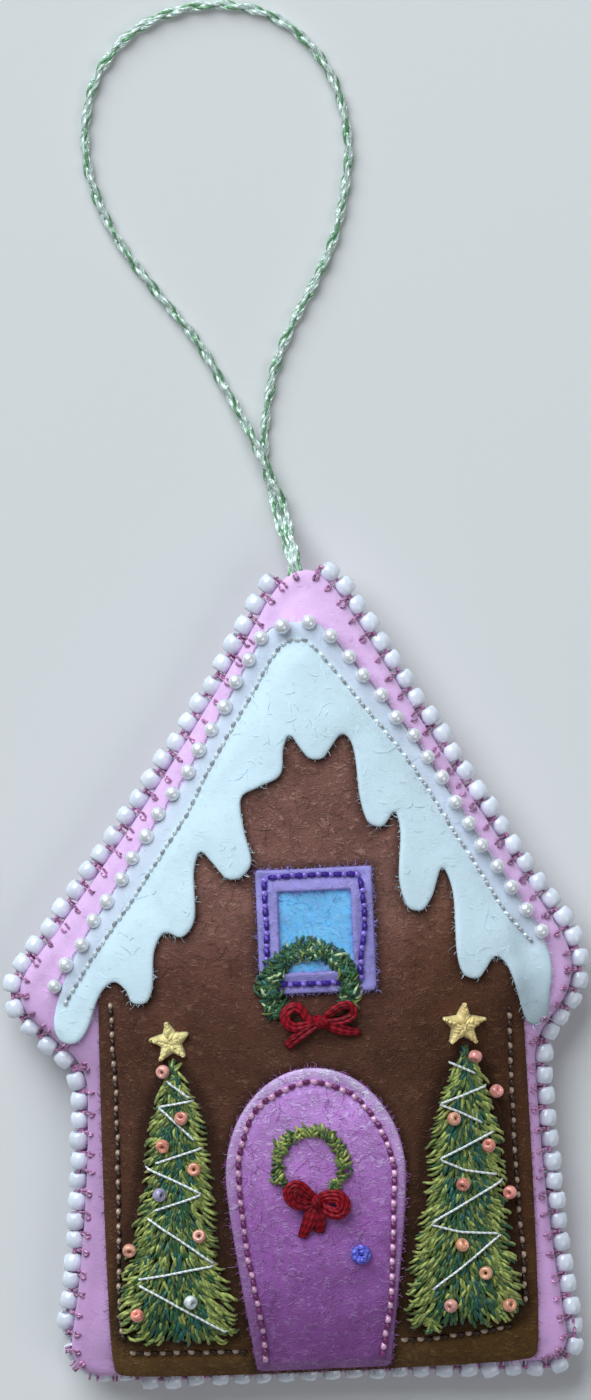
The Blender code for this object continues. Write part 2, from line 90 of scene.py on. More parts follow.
SEAM_HEIGHT = 6.5
BEAD_DROP = 0.7          # the beads hang this much below the seam

# The front's shapes near the base are let down: from this y on, over this length, by this much.
EASE_FROM, EASE_OVER, EASE_BY = -25.0, 28.0, 0.9

# Routes of the pearls from the gable down, and how many pearls each has.
PEARL_ROUTES = {
    "pearls_left": ([(0.1, 55.7), (-3.2, 53.5), (-13.0, 37.3), (-23.6, 21.6), (-37.6, 0.7)], 18),
    "pearls_right": ([(4.4, 56.0), (8.5, 52.9), (20.5, 36.5), (30.4, 19.3), (38.3, 6.2)], 16),
}

# Seam lines of the backstitches.
ICING_SEAM = [
    (-36.2, -2.4), (-34.8, -0.2), (-30.2, 6.7), (-24.6, 14.2), (-19.4, 21.7), (-15.6, 27.2),
    (-13.1, 31.9), (-10.8, 35.7), (-8.3, 39.7), (-6.0, 43.1), (-4.0, 46.5), (-2.8, 48.6),
    (-1.6, 50.5),
    (0.4, 52.9), (2.4, 53.4), (4.2, 52.8), (5.9, 51.0), (8.9, 47.1), (11.8, 43.2), (14.9, 39.2),
    (17.6, 35.5), (20.5, 31.2), (23.1, 26.7), (25.9, 21.5), (28.7, 16.9), (31.1, 12.5),
    (33.4, 8.7), (36.9, 4.2),
]
HOUSE_SEAMS = [
    [(-28.9, -1.8), (-28.7, -19.2), (-29.1, -37.2), (-29.6, -49.2), (-29.2, -54.6)],
    [(-28.4, -56.6), (-19.0, -56.6), (-10.1, -56.8)],
    [(13.9, -55.9), (18.0, -56.1), (22.0, -55.7), (26.0, -55.4), (31.4, -54.5)],
    [(33.4, -51.2), (33.4, -42.2), (32.9, -32.2), (32.7, -19.2), (32.9, -5.0)],
]
DOOR_SEAM = [
    (-7.3, -58.6), (-7.4, -54.5), (-8.6, -46.1), (-9.7, -37.8), (-10.2, -28.4), (-9.4, -23.8),
    (-7.6, -19.5), (-4.1, -16.7), (1.2, -14.9), (4.4, -15.4), (8.0, -17.2), (10.8, -20.6),
    (12.8, -24.4), (13.8, -28.2), (13.9, -31.0), (13.3, -40.2), (12.7, -48.5), (10.8, -58.6),
]
WINDOW_SEAMS = [
    [(-4.2, 17.0), (-4.2, 9.0), (-4.2, 0.8)],
    [(-3.6, 0.6), (3.0, 0.5), (10.0, 0.6)],
    [(10.1, 0.9), (10.3, 5.0), (11.0, 10.0), (10.7, 16.4)],
    [(10.4, 17.0), (3.0, 17.2), (-3.6, 17.1)],
]

# Silver garlands, each zigzag one thread.
GARLAND_LEFT = [
    [(-20.4, -14.0), (-17.1, -16.8)],
    [(-16.6, -17.3), (-21.9, -18.1), (-16.4, -23.5)],
    [(-15.5, -24.6), (-22.9, -27.0)],
    [(-24.5, -27.4), (-15.8, -31.8), (-23.6, -34.5)],
    [(-24.6, -35.2), (-14.4, -42.4)],
    [(-14.4, -42.6), (-26.5, -44.7)],
    [(-26.6, -45.2), (-12.8, -53.0)],
]
GARLAND_RIGHT = [
    [(23.1, -13.2), (26.9, -15.2)],
    [(28.7, -17.2), (21.1, -19.5), (23.9, -20.9), (27.9, -23.2)],
    [(29.6, -24.3), (20.7, -28.1), (24.7, -30.2), (29.9, -31.2)],
    [(30.9, -31.8), (18.9, -37.8), (23.4, -39.4), (29.8, -40.2), (18.4, -48.2)],
]

# Route of the cord's centre line: from the gable seam down to the surface through the twisted
# neck, round the loop, and back through the neck to the seam.
CORD_ROUTE = [
    (2.3, 62.6, 6.5), (2.0, 65.3, 5.6), (1.5, 67.6, 4.4), (0.7, 69.9, 3.1), (0.0, 72.5, 1.7),
    (-0.3, 75.0, 1.0), (-0.8, 77.4, 0.8), (-1.1, 79.8, 0.8), (-1.3, 82.4, 0.8), (-1.0, 86.0, 0.8),
    (-0.2, 90.6, 0.8), (1.2, 95.6, 0.8),
    (4.2, 102.0, 0.8), (8.2, 108.8, 0.8), (11.2, 115.4, 0.8), (13.3, 124.0, 0.8),
    (13.7, 131.0, 0.8), (11.9, 139.2, 0.8), (7.6, 145.8, 0.8), (1.4, 150.2, 0.8),
    (-6.4, 151.7, 0.8), (-14.0, 150.4, 0.8), (-20.6, 146.6, 0.8), (-25.2, 140.2, 0.8),
    (-27.0, 131.6, 0.8), (-25.9, 123.6, 0.8), (-22.4, 115.4, 0.8), (-16.8, 107.2, 0.8),
    (-11.0, 99.4, 0.8), (-7.0, 92.0, 0.9), (-3.9, 85.8, 1.7), (-2.0, 81.6, 2.3),
    (-0.9, 78.8, 2.4), (0.2, 76.4, 2.2), (1.2, 74.2, 1.9), (1.6, 72.0, 2.3), (1.9, 69.7, 3.6),
    (2.4, 67.4, 4.9), (2.9, 65.2, 6.0), (3.3, 62.6, 6.8),
]


# ---- what a user would change ----
def length(name, description, value):
    """Property for a length, given here in millimetres."""
    return FloatProperty(name=name, description=description, default=value * MM, min=0.0,
                         precision=5, unit="LENGTH")


def colour(name, description, value):
    """Property for a colour, in linear light."""
    return FloatVectorProperty(name=name, description=description, default=value, size=3,
                               min=0.0, max=1.0, subtype="COLOR")


class OrnamentSizes(PropertyGroup):
    """Sizes of the felt, the beads and the threads."""
    felt: length("Felt", "Thickness of the felt shapes on the front", 1.0)
    pane_felt: length("Pane felt", "Thickness of the window pane's felt", 0.6)
    body_felt: length("Body felt", "Thickness of the stuffed body's felt", 1.2)
    front_rise: length("Front rise", "How far the stuffed front bulges", 8.3)
    back_rise: length("Back rise", "How far the stuffed back bulges before it flattens", 6.7)
    edge_bead: length("Edge bead", "Diameter of the glass beads along the seam", 3.2)
    edge_bead_length: length("Edge bead length", "Length of an edge bead along its hole", 2.95)
    pearl: length("Pearl", "Diameter of the pearls along the icing", 2.45)
    tree_bead: length("Tree bead", "Diameter of the glass beads on the trees", 2.2)
    cord: length("Cord", "Diameter of the twisted hanging cord", 1.5)
    swell: length("Swell", "How far the stuffing may push the felt out", 0.8)
    seed: IntProperty(name="Seed", description="Start of the random hand-made unevenness",
                      default=7, min=0)


class OrnamentColours(PropertyGroup):
    """Colours of the felts, threads, beads and cord, and of the studio."""
    pink: colour("Pink felt", "Stuffed body", (0.88, 0.57, 0.91))
    brown: colour("Brown felt", "House front", (0.150, 0.066, 0.050))
    white: colour("White felt", "Icing", (0.68, 0.85, 0.93))
    lilac: colour("Lilac felt", "Window frame", (0.34, 0.30, 0.68))
    blue: colour("Blue felt", "Window pane", (0.20, 0.58, 1.0))
    purple: colour("Purple felt", "Door", (0.43, 0.16, 0.45))
    magenta: colour("Magenta thread", "Door stitches", (0.90, 0.50, 0.72))
    rose: colour("Rose thread", "Blanket stitches along the seam", (0.75, 0.36, 0.62))
    silver: colour("Silver thread", "Icing stitches and garlands", (0.72, 0.74, 0.74))
    bronze: colour("Brown thread", "House stitches", (0.50, 0.36, 0.28))
    violet: colour("Violet thread", "Window stitches and door knob", (0.09, 0.05, 0.50))
    red: colour("Red thread", "Bows", (0.26, 0.003, 0.012))
    gold: colour("Gold thread", "Stars", (1.0, 0.80, 0.36))
    lime: colour("Lime thread", "Outer stitches of the trees", (0.43, 0.50, 0.12))
    olive: colour("Olive thread", "Stitches of the trees", (0.18, 0.25, 0.05))
    leaf: colour("Green thread", "Inner stitches of the trees and the window wreath",
                 (0.03, 0.13, 0.035))
    # Painted highlight: pale stitches that stand for glints on the wreath's glossy threads
    painted_glint: colour("Painted glint thread", "Palest stitches of the window wreath", (0.55, 0.70, 0.36))
    teal: colour("Teal thread", "Darkest stitches of the trees", (0.02, 0.15, 0.12))
    coral: colour("Coral glass", "Beads on the trees", (0.84, 0.32, 0.22))
    glass: colour("White glass", "Beads along the seam", (0.80, 0.84, 0.93))
    pearl: colour("Pearl", "Pearls along the icing", (0.86, 0.87, 0.90))
    cord_green: colour("Cord green", "Green metallic threads of the cord", (0.25, 0.49, 0.27))
    cord_mint: colour("Cord mint", "Pale metallic threads of the cord", (0.90, 1.0, 0.95))
    floor: colour("Floor", "Studio floor", (0.80, 0.80, 0.79))


def sizes():
    return bpy.context.scene.ornament_sizes


def colours():
    return bpy.context.scene.ornament_colours


# ---- lines and outlines ----
def share_of(value):
    """The value kept between 0 and 1."""
    return np.clip(value, 0.0, 1.0)


def eased(value):
    """The value kept between 0 and 1, with a gentle start and end."""
    share = share_of(value)
    return share * share * (3.0 - 2.0 * share)


def corners_of(name):
    """The two corners of a node's box in the CAD frame, in millimetres."""
    return [np.array(corner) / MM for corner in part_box(name)]


def unit(vectors):
    """The vectors at length 1, apart from those that have no length."""
    return vectors / np.maximum(np.linalg.norm(vectors, axis=-1, keepdims=True), 1e-9)


def leftwards(vectors):
    """Vectors of the plan, turned a quarter to the left."""
    return np.stack([-vectors[..., 1], vectors[..., 0]], axis=-1)


def spline(p0, p1, p2, p3, t):
    """Point at t from p1 to p2 on the Catmull-Rom curve through four points."""
    return tuple(
        0.5 * (2 * b + (c - a) * t + (2 * a - 5 * b + 4 * c - d) * t * t
               + (3 * b - a - 3 * c + d) * t ** 3)
        for a, b, c, d in zip(p0, p1, p2, p3))


def along(route, count):
    """That many points, evenly spaced, on the smooth open curve through the route."""
    ends = [tuple(2 * a - b for a, b in zip(route[0], route[1]))]
    last = [tuple(2 * a - b for a, b in zip(route[-1], route[-2]))]
    path = ends + [tuple(p) for p in route] + last
    fine = [spline(*path[i:i + 4], k / 16) for i in range(len(path) - 3) for k in range(16)]
    fine.append(tuple(route[-1]))
    return spaced(np.array(fine), count)


def reach_along(line):
    """Distance of each point from the line's start."""
    return np.concatenate([[0.0], np.cumsum(np.linalg.norm(np.diff(line, axis=0), axis=1))])


def spaced(line, count):
    """That many evenly spaced points on an open line."""
    reach = reach_along(line)
    places = np.linspace(0.0, reach[-1], count)
    return np.column_stack([np.interp(places, reach, axis) for axis in line.T])


def rounded_outline(corners, step):
    """Closed outline with bowed sides and rounded corners, and where each corner's middle is."""
    points, middles = [], []
    count = len(corners)

    def side(i, t):
        x0, y0, _, bow = corners[i]
        x1, y1 = corners[(i + 1) % count][:2]
        reach = math.hypot(x1 - x0, y1 - y0)
        swell = bow * 4.0 * t * (1.0 - t)
        across = ((y1 - y0) / reach, -(x1 - x0) / reach)
        return (x0 + (x1 - x0) * t + across[0] * swell, y0 + (y1 - y0) * t + across[1] * swell)

    for i in range(count):
        x0, y0, trim0, _ = corners[i]
        x1, y1, trim1, _ = corners[(i + 1) % count]
        reach = math.hypot(x1 - x0, y1 - y0)
        before = corners[i - 1]
        reach_before = math.hypot(x0 - before[0], y0 - before[1])
        arrive = side(i - 1 if i else count - 1, 1.0 - trim0 / reach_before)
        leave = side(i, trim0 / reach)
        turns = max(2, round(1.6 * trim0 / step))
        for k in range(turns):
            t = k / turns
            points.append(tuple(
                (1 - t) ** 2 * a + 2 * t * (1 - t) * c + t * t * b
                for a, c, b in zip(arrive, (x0, y0), leave)))
            if k == turns // 2:
                middles.append(len(points) - 1)
        start, end = trim0 / reach, 1.0 - trim1 / reach
        pieces = max(1, round((end - start) * reach / step))
        for k in range(pieces):
            points.append(side(i, start + (end - start) * k / pieces))
    return np.array(points), middles


def inset(outline, distance):
    """The closed outline moved inwards, to the left of its counter-clockwise direction."""
    ahead = unit(np.roll(outline, -1, axis=0) - np.roll(outline, 1, axis=0))
    return outline + distance * leftwards(ahead)


def node_outlines(name):
    """Corners of a felt shape of the frame, seen from above: its outline, then its hole's."""
    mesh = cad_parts[name].data
    places = np.array([v.co for v in mesh.vertices])[:, :2] / MM
    known, keys = [], []
    for place in places:
        same = [k for k, other in enumerate(known) if np.hypot(*(place - other)) < 0.06]
        keys.append(same[0] if same else len(known))
        if not same:
            known.append(place)
    known = np.array(known)
    links = set()
    for face in mesh.polygons:
        corners = sorted({keys[i] for i in face.vertices}, key=lambda k: tuple(known[k]))
        if face.normal.length > 0.5 and abs(face.normal.z) < 0.05:
            links.update(zip(corners, corners[1:]))
    beside = {}
    for a, b in links:
        reach = known[b] - known[a]
        t = (known - known[a]) @ reach / (reach @ reach)
        off = np.hypot(*(known - known[a] - t[:, None] * reach).T)
        if not np.any((off < 0.05) & (t > 0.01) & (t < 0.99)):
            beside.setdefault(a, set()).add(b)
            beside.setdefault(b, set()).add(a)
    outlines = []
    while beside:
        loop = [min(beside)]
        while True:
            ahead = beside.pop(loop[-1]) & set(beside)
            if not ahead:
                break
            loop.append(min(ahead))
        outlines.append(without_straight_points(np.array([known[k] for k in loop])))
    outlines = [o if area(o) > 0 else o[::-1] for o in outlines]
    return sorted(outlines, key=area, reverse=True)


def area(outline):
    x, y = outline.T
    return 0.5 * float(np.sum(x * np.roll(y, -1) - y * np.roll(x, -1)))


def without_straight_points(loop, flat=0.03):
    """The loop without the points that lie on the line between their neighbours."""
    before, after = np.roll(loop, 1, axis=0), np.roll(loop, -1, axis=0)
    chord = after - before
    off = loop - before
    away = np.abs(chord[:, 0] * off[:, 1] - chord[:, 1] * off[:, 0])
    return loop[away / np.linalg.norm(chord, axis=1) > flat]


def smooth_closed(corners, step, sharp=None, ease=0.5):
    """Closed curve through the corners, fuller for a smaller ease. Those that turn by more than
    sharp degrees stay corners."""
    count = len(corners)
    ahead = np.roll(corners, -1, axis=0) - corners
    heading = np.arctan2(ahead[:, 1], ahead[:, 0])
    turn = np.degrees(np.abs((heading - np.roll(heading, 1) + math.pi) % (2 * math.pi) - math.pi))
    keep = turn > sharp if sharp else np.zeros(count, bool)
    points = []
    for i in range(count):
        p0, p1, p2, p3 = (corners[(i + k) % count] for k in (-1, 0, 1, 2))
        if keep[i]:
            p0 = 2 * p1 - p2
        if keep[(i + 1) % count]:
            p3 = 2 * p2 - p1
        knots = np.cumsum([0.0] + [max(np.linalg.norm(b - a), 1e-6) ** ease
                                   for a, b in ((p0, p1), (p1, p2), (p2, p3))])
        pieces = max(1, round(float(np.linalg.norm(p2 - p1)) / step))
        for k in range(pieces):
            t = knots[1] + (knots[2] - knots[1]) * k / pieces
            points.append(centripetal((p0, p1, p2, p3), knots, t))
    return np.array(points)


def blunted(corners, sharp=70.0, half_width=1.2, setback=0.3):
    """The corners, with a point either side of each outward tip that turns by more than sharp
    degrees, so that the tip comes out round and full."""
    points = []
    for i, tip in enumerate(corners):
        before, after = tip - corners[i - 1], corners[(i + 1) % len(corners)] - tip
        before, after = unit(before), unit(after)
        turn = math.degrees(math.atan2(before[0] * after[1] - before[1] * after[0],
                                       float(before @ after)))
        if turn < sharp:
            points.append(tip)
            continue
        out = unit(before - after)
        side = leftwards(out) * half_width
        points += [tip - side - out * setback, tip, tip + side - out * setback]
    return np.array(points)


def centripetal(points, knots, t):
    """Point of the curve that passes the four points at the four knots."""
    def mix(a, b, i, j):
        return ((knots[j] - t) * a + (t - knots[i]) * b) / (knots[j] - knots[i])
    p0, p1, p2, p3 = points
    a, b, c = mix(p0, p1, 0, 1), mix(p1, p2, 1, 2), mix(p2, p3, 2, 3)
    return mix(mix(a, b, 0, 2), mix(b, c, 1, 3), 1, 2)


def depth(outline, x, y):
    """How far inside the closed outline each point is, negative outside it."""
    x, y = np.asarray(x, float), np.asarray(y, float)
    nearest = np.full(x.shape, np.inf)
    inside = np.zeros(x.shape, bool)
    for (x0, y0), (x1, y1) in zip(outline, np.roll(outline, -1, axis=0)):
        dx, dy = x1 - x0, y1 - y0
        t = share_of(((x - x0) * dx + (y - y0) * dy) / (dx * dx + dy * dy))
        nearest = np.minimum(nearest, (x - x0 - t * dx) ** 2 + (y - y0 - t * dy) ** 2)
        if y0 != y1:
            inside ^= ((y0 > y) != (y1 > y)) & (x < x0 + dx * (y - y0) / dy)
    return np.where(inside, 1.0, -1.0) * np.sqrt(nearest)


def off_line(line, x, y):
    """Distance of each point from an open line."""
    nearest = np.full(x.shape, np.inf)
    for (x0, y0), (x1, y1) in zip(line, line[1:]):
        dx, dy = x1 - x0, y1 - y0
        t = share_of(((x - x0) * dx + (y - y0) * dy) / math.hypot(dx, dy) ** 2)
        nearest = np.minimum(nearest, np.hypot(x - x0 - t * dx, y - y0 - t * dy))
    return nearest


def waves(x, y, size, height, rng):
    """Gentle unevenness: a few waves of about that size across the plan."""
    total = np.zeros(np.shape(x))
    for _ in range(6):
        angle, phase = rng.uniform(0, 2 * math.pi, 2)
        across = x * math.cos(angle) + y * math.sin(angle)
        total += np.sin(2 * math.pi * across / (size * rng.uniform(0.7, 1.4)) + phase)
    return total * height / 3.0


def eased_down(points):
    """The points of the front, let down a little where the stuffed front turns to the base."""
    points = np.array(points, float)
    points[:, 1] -= EASE_BY * eased((EASE_FROM - points[:, 1]) / EASE_OVER)
    return points


def graded(stops):
    """Painted light and shade by height on the front: (y, colour) stops from the gable down,
    blended between.
    """
    ys = [y for y, _ in stops][::-1]

    def shade(x, y):
        return np.column_stack([np.interp(y, ys, [tint[k] for _, tint in stops][::-1])
                                for k in range(3)])
    return shade


def shadowed(shade, outlines, reach=1.0, by=0.56):
    """A tint that also darkens round shapes that lie on top: painted shade at their edges."""
    def darker(x, y):
        tint = shade(x, y)
        for outline in outlines:
            away = np.maximum(-depth(outline, x, y), 0.0)
            tint = tint * (1.0 - by * np.exp(-(away / reach) ** 2))[:, None]
        return tint
    return darker


# ---- the relief that the layers build up ----
RELIEF_CELL = 0.4


class Relief:
    """Height of a face of the ornament, cell by cell over the plan."""

    HALF_X, HALF_Y = 51.2, 72.0

    def __init__(self, cell=RELIEF_CELL):
        self.cell = cell
        xs = np.arange(-self.HALF_X, self.HALF_X + cell / 2, cell)
        ys = np.arange(-self.HALF_Y, self.HALF_Y + cell / 2, cell)
        self.x, self.y = np.meshgrid(xs, ys)
        self.z = np.zeros_like(self.x)

    def at(self, x, y, field=None):
        """Height, or another field's value, at points of the plan."""
        field = self.z if field is None else field
        rows, columns = field.shape
        u = np.clip((np.asarray(x) + self.HALF_X) / self.cell, 0, columns - 1.001)
        v = np.clip((np.asarray(y) + self.HALF_Y) / self.cell, 0, rows - 1.001)
        i, j = u.astype(int), v.astype(int)
        a, b = u - i, v - j
        low = field[j, i] * (1 - a) + field[j, i + 1] * a
        high = field[j + 1, i] * (1 - a) + field[j + 1, i + 1] * a
        return low * (1 - b) + high * b

    def normal(self, x, y, reach=0.8):
        """Outward direction of the face, smoothed over its fine dents."""
        across = (self.at(x + reach, y) - self.at(x - reach, y)) / (2 * reach)
        ahead = (self.at(x, y + reach) - self.at(x, y - reach)) / (2 * reach)
        return unit(np.stack([-across, -ahead, np.ones_like(across)], axis=-1))

    def place(self, points, lift):
        """Points of the plan set on the face, lifted square to it."""
        points = np.asarray(points, float)
        x, y = points[..., 0], points[..., 1]
        on = np.stack([x, y, self.at(x, y)], axis=-1)
        return on + np.asarray(lift)[..., None] * self.normal(x, y)


def blurred(field, reach):
    """The relief's field averaged over about that distance."""
    half = max(1, int(3 * reach / RELIEF_CELL))
    steps = np.arange(-half, half + 1) * RELIEF_CELL
    weights = np.exp(-0.5 * (steps / reach) ** 2)
    weights /= weights.sum()
    for axis in (0, 1):
        edges = [(half, half) if a == axis else (0, 0) for a in (0, 1)]
        padded = np.pad(field, edges, mode="edge")
        total = np.zeros_like(field)
        for k, weight in enumerate(weights):
            window = [slice(k, k + field.shape[a]) if a == axis else slice(None) for a in (0, 1)]
            total += weight * padded[tuple(window)]
        field = total
    return field


# ---- gathering meshes ----
class Heap:
    """Parts gathered into one mesh. Each point also has its place on its thread (how far along
    it is, and the cosine and sine of twice its turn round the thread) and a tint."""

    ALMOST_UP = np.array([0.03, 0.02, 1.0])     # no thread runs exactly this way

    def __init__(self):
        self.points, self.faces, self.lays, self.tints = [], [], [], []
        self.count = 0

    def add(self, points, faces, tint=(1.0, 1.0, 1.0), lay=None):
        """Adds points, their faces by index, and the points' tints and places."""
        points = np.asarray(points, float).reshape(-1, 3)
        number = len(points)
        self.points.append(points)
        self.tints.append(np.broadcast_to(np.asarray(tint, float), (number, 3)))
        self.lays.append(np.zeros((number, 3)) if lay is None else lay)
        for group in faces:
            self.faces += (np.asarray(group) + self.count).tolist()
        self.count += number

    def strands(self, paths, radii, sides, tints=(1.0, 1.0, 1.0), flat=1.0):
        """Adds closed tubes along paths of shape (strands, points, 3)."""
        paths = np.asarray(paths, float)
        number, rings, _ = paths.shape
        radii = np.broadcast_to(np.asarray(radii, float), (number, rings))
        ahead = unit(np.gradient(paths, axis=1))
        across = unit(np.cross(ahead, self.ALMOST_UP))
        up = np.cross(across, ahead)
        turn = 2 * math.pi * (np.arange(sides) + 0.5) / sides
        ring = (np.cos(turn)[None, None, :, None] * across[:, :, None]
                + flat * np.sin(turn)[None, None, :, None] * up[:, :, None])
        points = paths[:, :, None] + radii[:, :, None, None] * ring
        steps = np.linalg.norm(np.diff(paths, axis=1), axis=2)
        reach = np.concatenate([np.zeros((number, 1)), np.cumsum(steps, axis=1)], axis=1)
        lay = np.stack(np.broadcast_arrays(reach[:, :, None], np.cos(2 * turn)[None, None],
                                           np.sin(2 * turn)[None, None]), axis=-1)
        index = np.arange(number * rings * sides).reshape(number, rings, sides)
        near, far = index[:, :-1], index[:, 1:]
        walls = np.stack([near, np.roll(near, -1, axis=2), np.roll(far, -1, axis=2), far], axis=-1)
        tints = np.broadcast_to(np.asarray(tints, float), (number, 3))
        shade = np.broadcast_to(tints[:, None, None], (number, rings, sides, 3)).reshape(-1, 3)
        self.add(points, [walls.reshape(-1, 4), index[:, 0, ::-1], index[:, -1]], shade,
                 lay.reshape(-1, 3))

    def copies(self, shape, places, tints=(1.0, 1.0, 1.0)):
        """Adds copies of a modelled shape, one for each matrix."""
        points, faces = shape
        tints = np.broadcast_to(np.asarray(tints, float), (len(places), 3))
        for place, tint in zip(places, tints):
            matrix = np.array(place)
            self.add(points @ matrix[:3, :3].T + matrix[:3, 3], [[f] for f in faces], tint)

    def piece(self, name, material, slot, *nodes):
        """Makes the object, which rides on the ornament and stands for the frame's nodes."""
        mesh = bpy.data.meshes.new(name)
        mesh.from_pydata((np.concatenate(self.points) * MM).tolist(), [], self.faces)
        mesh.polygons.foreach_set("use_smooth", [True] * len(mesh.polygons))
        lay = mesh.attributes.new("lay", "FLOAT_VECTOR", "POINT")
        lay.data.foreach_set("vector", np.concatenate(self.lays).astype(np.float32).ravel())
        tint = mesh.attributes.new("tint", "FLOAT_COLOR", "POINT")
        shades = np.column_stack([np.concatenate(self.tints), np.ones(self.count)])
        tint.data.foreach_set("color", shades.astype(np.float32).ravel())
        mesh.materials.append(material)
        item = bpy.data.objects.new(name, mesh)
        bpy.context.scene.collection.objects.link(item)
        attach(item, "root")
        if nodes:
            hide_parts(*nodes)
        return item


def deselect():
    """Leaves nothing selected and no object active."""
    if bpy.context.mode != "OBJECT":
        bpy.ops.object.mode_set(mode="OBJECT")
    bpy.ops.object.select_all(action="DESELECT")


def shape_of(item):
    """Takes an object's points, in millimetres, and faces, and removes the object."""
    points = np.array([item.matrix_world @ v.co for v in item.data.vertices]) / MM
    faces = [tuple(face.vertices) for face in item.data.polygons]
    mesh = item.data
    bpy.data.objects.remove(item)
    bpy.data.meshes.remove(mesh)
    return points, faces


def select_points(item, wanted):
    """In edit mode, selects the vertices whose place answers wanted."""
    bpy.ops.mesh.select_all(action="DESELECT")
    bpy.ops.object.mode_set(mode="OBJECT")
    for vertex in item.data.vertices:
        vertex.select = bool(wanted(vertex.co / MM))
    bpy.ops.object.mode_set(mode="EDIT")
    bpy.ops.mesh.select_mode(type="VERT")


# ---- felt ----
RIM = 0.3                # the felt's rounded edge begins this far inside its outline
SETTLE = 1.0             # felt bridges steps in what it lies on over about this distance
# Rounded cut edge of a felt sheet: distance outwards from the rim, and share of the thickness
# below the top.
EDGE_PROFILE = [(0.16, 0.14), (0.27, 0.38), (0.31, 0.65), (0.27, 0.92)]
EDGE_ROUNDING = 0.4      # how far in the rounding of the cut edge reaches, for what lies on it
SEAM_DENT, SEAM_DENT_REACH = 0.36, 0.95     # how deep a seam pulls the felt in, and how wide
SUNK = 0.25              # how far a sheet's underside reaches into what it lies on
LEAST_SHARE = 0.3        # of its rectangle that a declared sheet's cut may be
RIM_FIBRE, FACE_FIBRE = 0.26, 0.75          # a third of the loose fibres' usual length
FIBRE_THICKNESS = (0.022, 0.045)            # radius of the thinnest and the thickest fibre
FIBRE_TAPER = np.array([1, 1, 1, 0.8, 0.3])


def plan_grid(inside, low, high, cell, margin):
    """Square cells over the plan where inside(x, y) is over the margin, the border points moved
    onto it: points, faces, directed border edges, border points and their outward directions."""
    xs = np.arange(low[0] - cell, high[0] + 2 * cell, cell)
    ys = np.arange(low[1] - cell, high[1] + 2 * cell, cell)
    x, y = np.meshgrid(xs, ys)
    kept = inside((x + cell / 2)[:-1, :-1], (y + cell / 2)[:-1, :-1]) > margin
    index = np.arange(x.size).reshape(x.shape)
    quads = np.stack([index[:-1, :-1], index[:-1, 1:], index[1:, 1:], index[1:, :-1]], axis=-1)
    quads = quads[kept]
    used, quads = np.unique(quads, return_inverse=True)
    quads = quads.reshape(-1, 4)
    points = np.column_stack([x.ravel()[used], y.ravel()[used]])
    edges = np.concatenate([quads[:, [k, (k + 1) % 4]] for k in range(4)])
    codes = edges[:, 0] * len(points) + edges[:, 1]
    back = edges[:, 1] * len(points) + edges[:, 0]
    border = edges[~np.isin(codes, back)]
    rim = np.unique(border)
    reach = 0.05
    for _ in range(3):
        px, py = points[rim].T
        off = inside(px, py) - margin
        slope_x = (inside(px + reach, py) - inside(px - reach, py)) / (2 * reach)
        slope_y = (inside(px, py + reach) - inside(px, py - reach)) / (2 * reach)
        steep = np.maximum(slope_x ** 2 + slope_y ** 2, 0.25)
        points[rim] -= np.column_stack([slope_x, slope_y]) * (off / steep)[:, None]
    along_edge = points[border[:, 1]] - points[border[:, 0]]
    away = np.zeros_like(points)
    for column in (0, 1):
        np.add.at(away, border[:, column], -leftwards(along_edge))
    return points, quads, border, rim, unit(away[rim])


def slab(heap, grid, top, bottom, rings, shade=None):
    """Closed solid over a plan grid: its top, its walls through rings of (distance outwards,
    heights along the rim), and its bottom. Its tint may follow a function of the plan."""
    points, quads, border, rim, away = grid
    number = len(points)
    order = np.full(number, -1)
    order[rim] = np.arange(len(rim))
    levels = [np.column_stack([points, top])]
    starts = [rim]
    count = number
    for out, heights in rings:
        levels.append(np.column_stack([points[rim] + out * away, heights]))
        starts.append(np.arange(len(rim)) + count)
        count += len(rim)
    levels.append(np.column_stack([points, bottom]))
    starts.append(rim + count)
    faces = [quads, quads[:, ::-1] + count]
    a, b = order[border[:, 0]], order[border[:, 1]]
    for upper, lower in zip(starts, starts[1:]):
        faces.append(np.column_stack([upper[b], upper[a], lower[a], lower[b]]))
    every = np.concatenate(levels)
    heap.add(every, faces, (1.0, 1.0, 1.0) if shade is None else shade(every[:, 0], every[:, 1]))


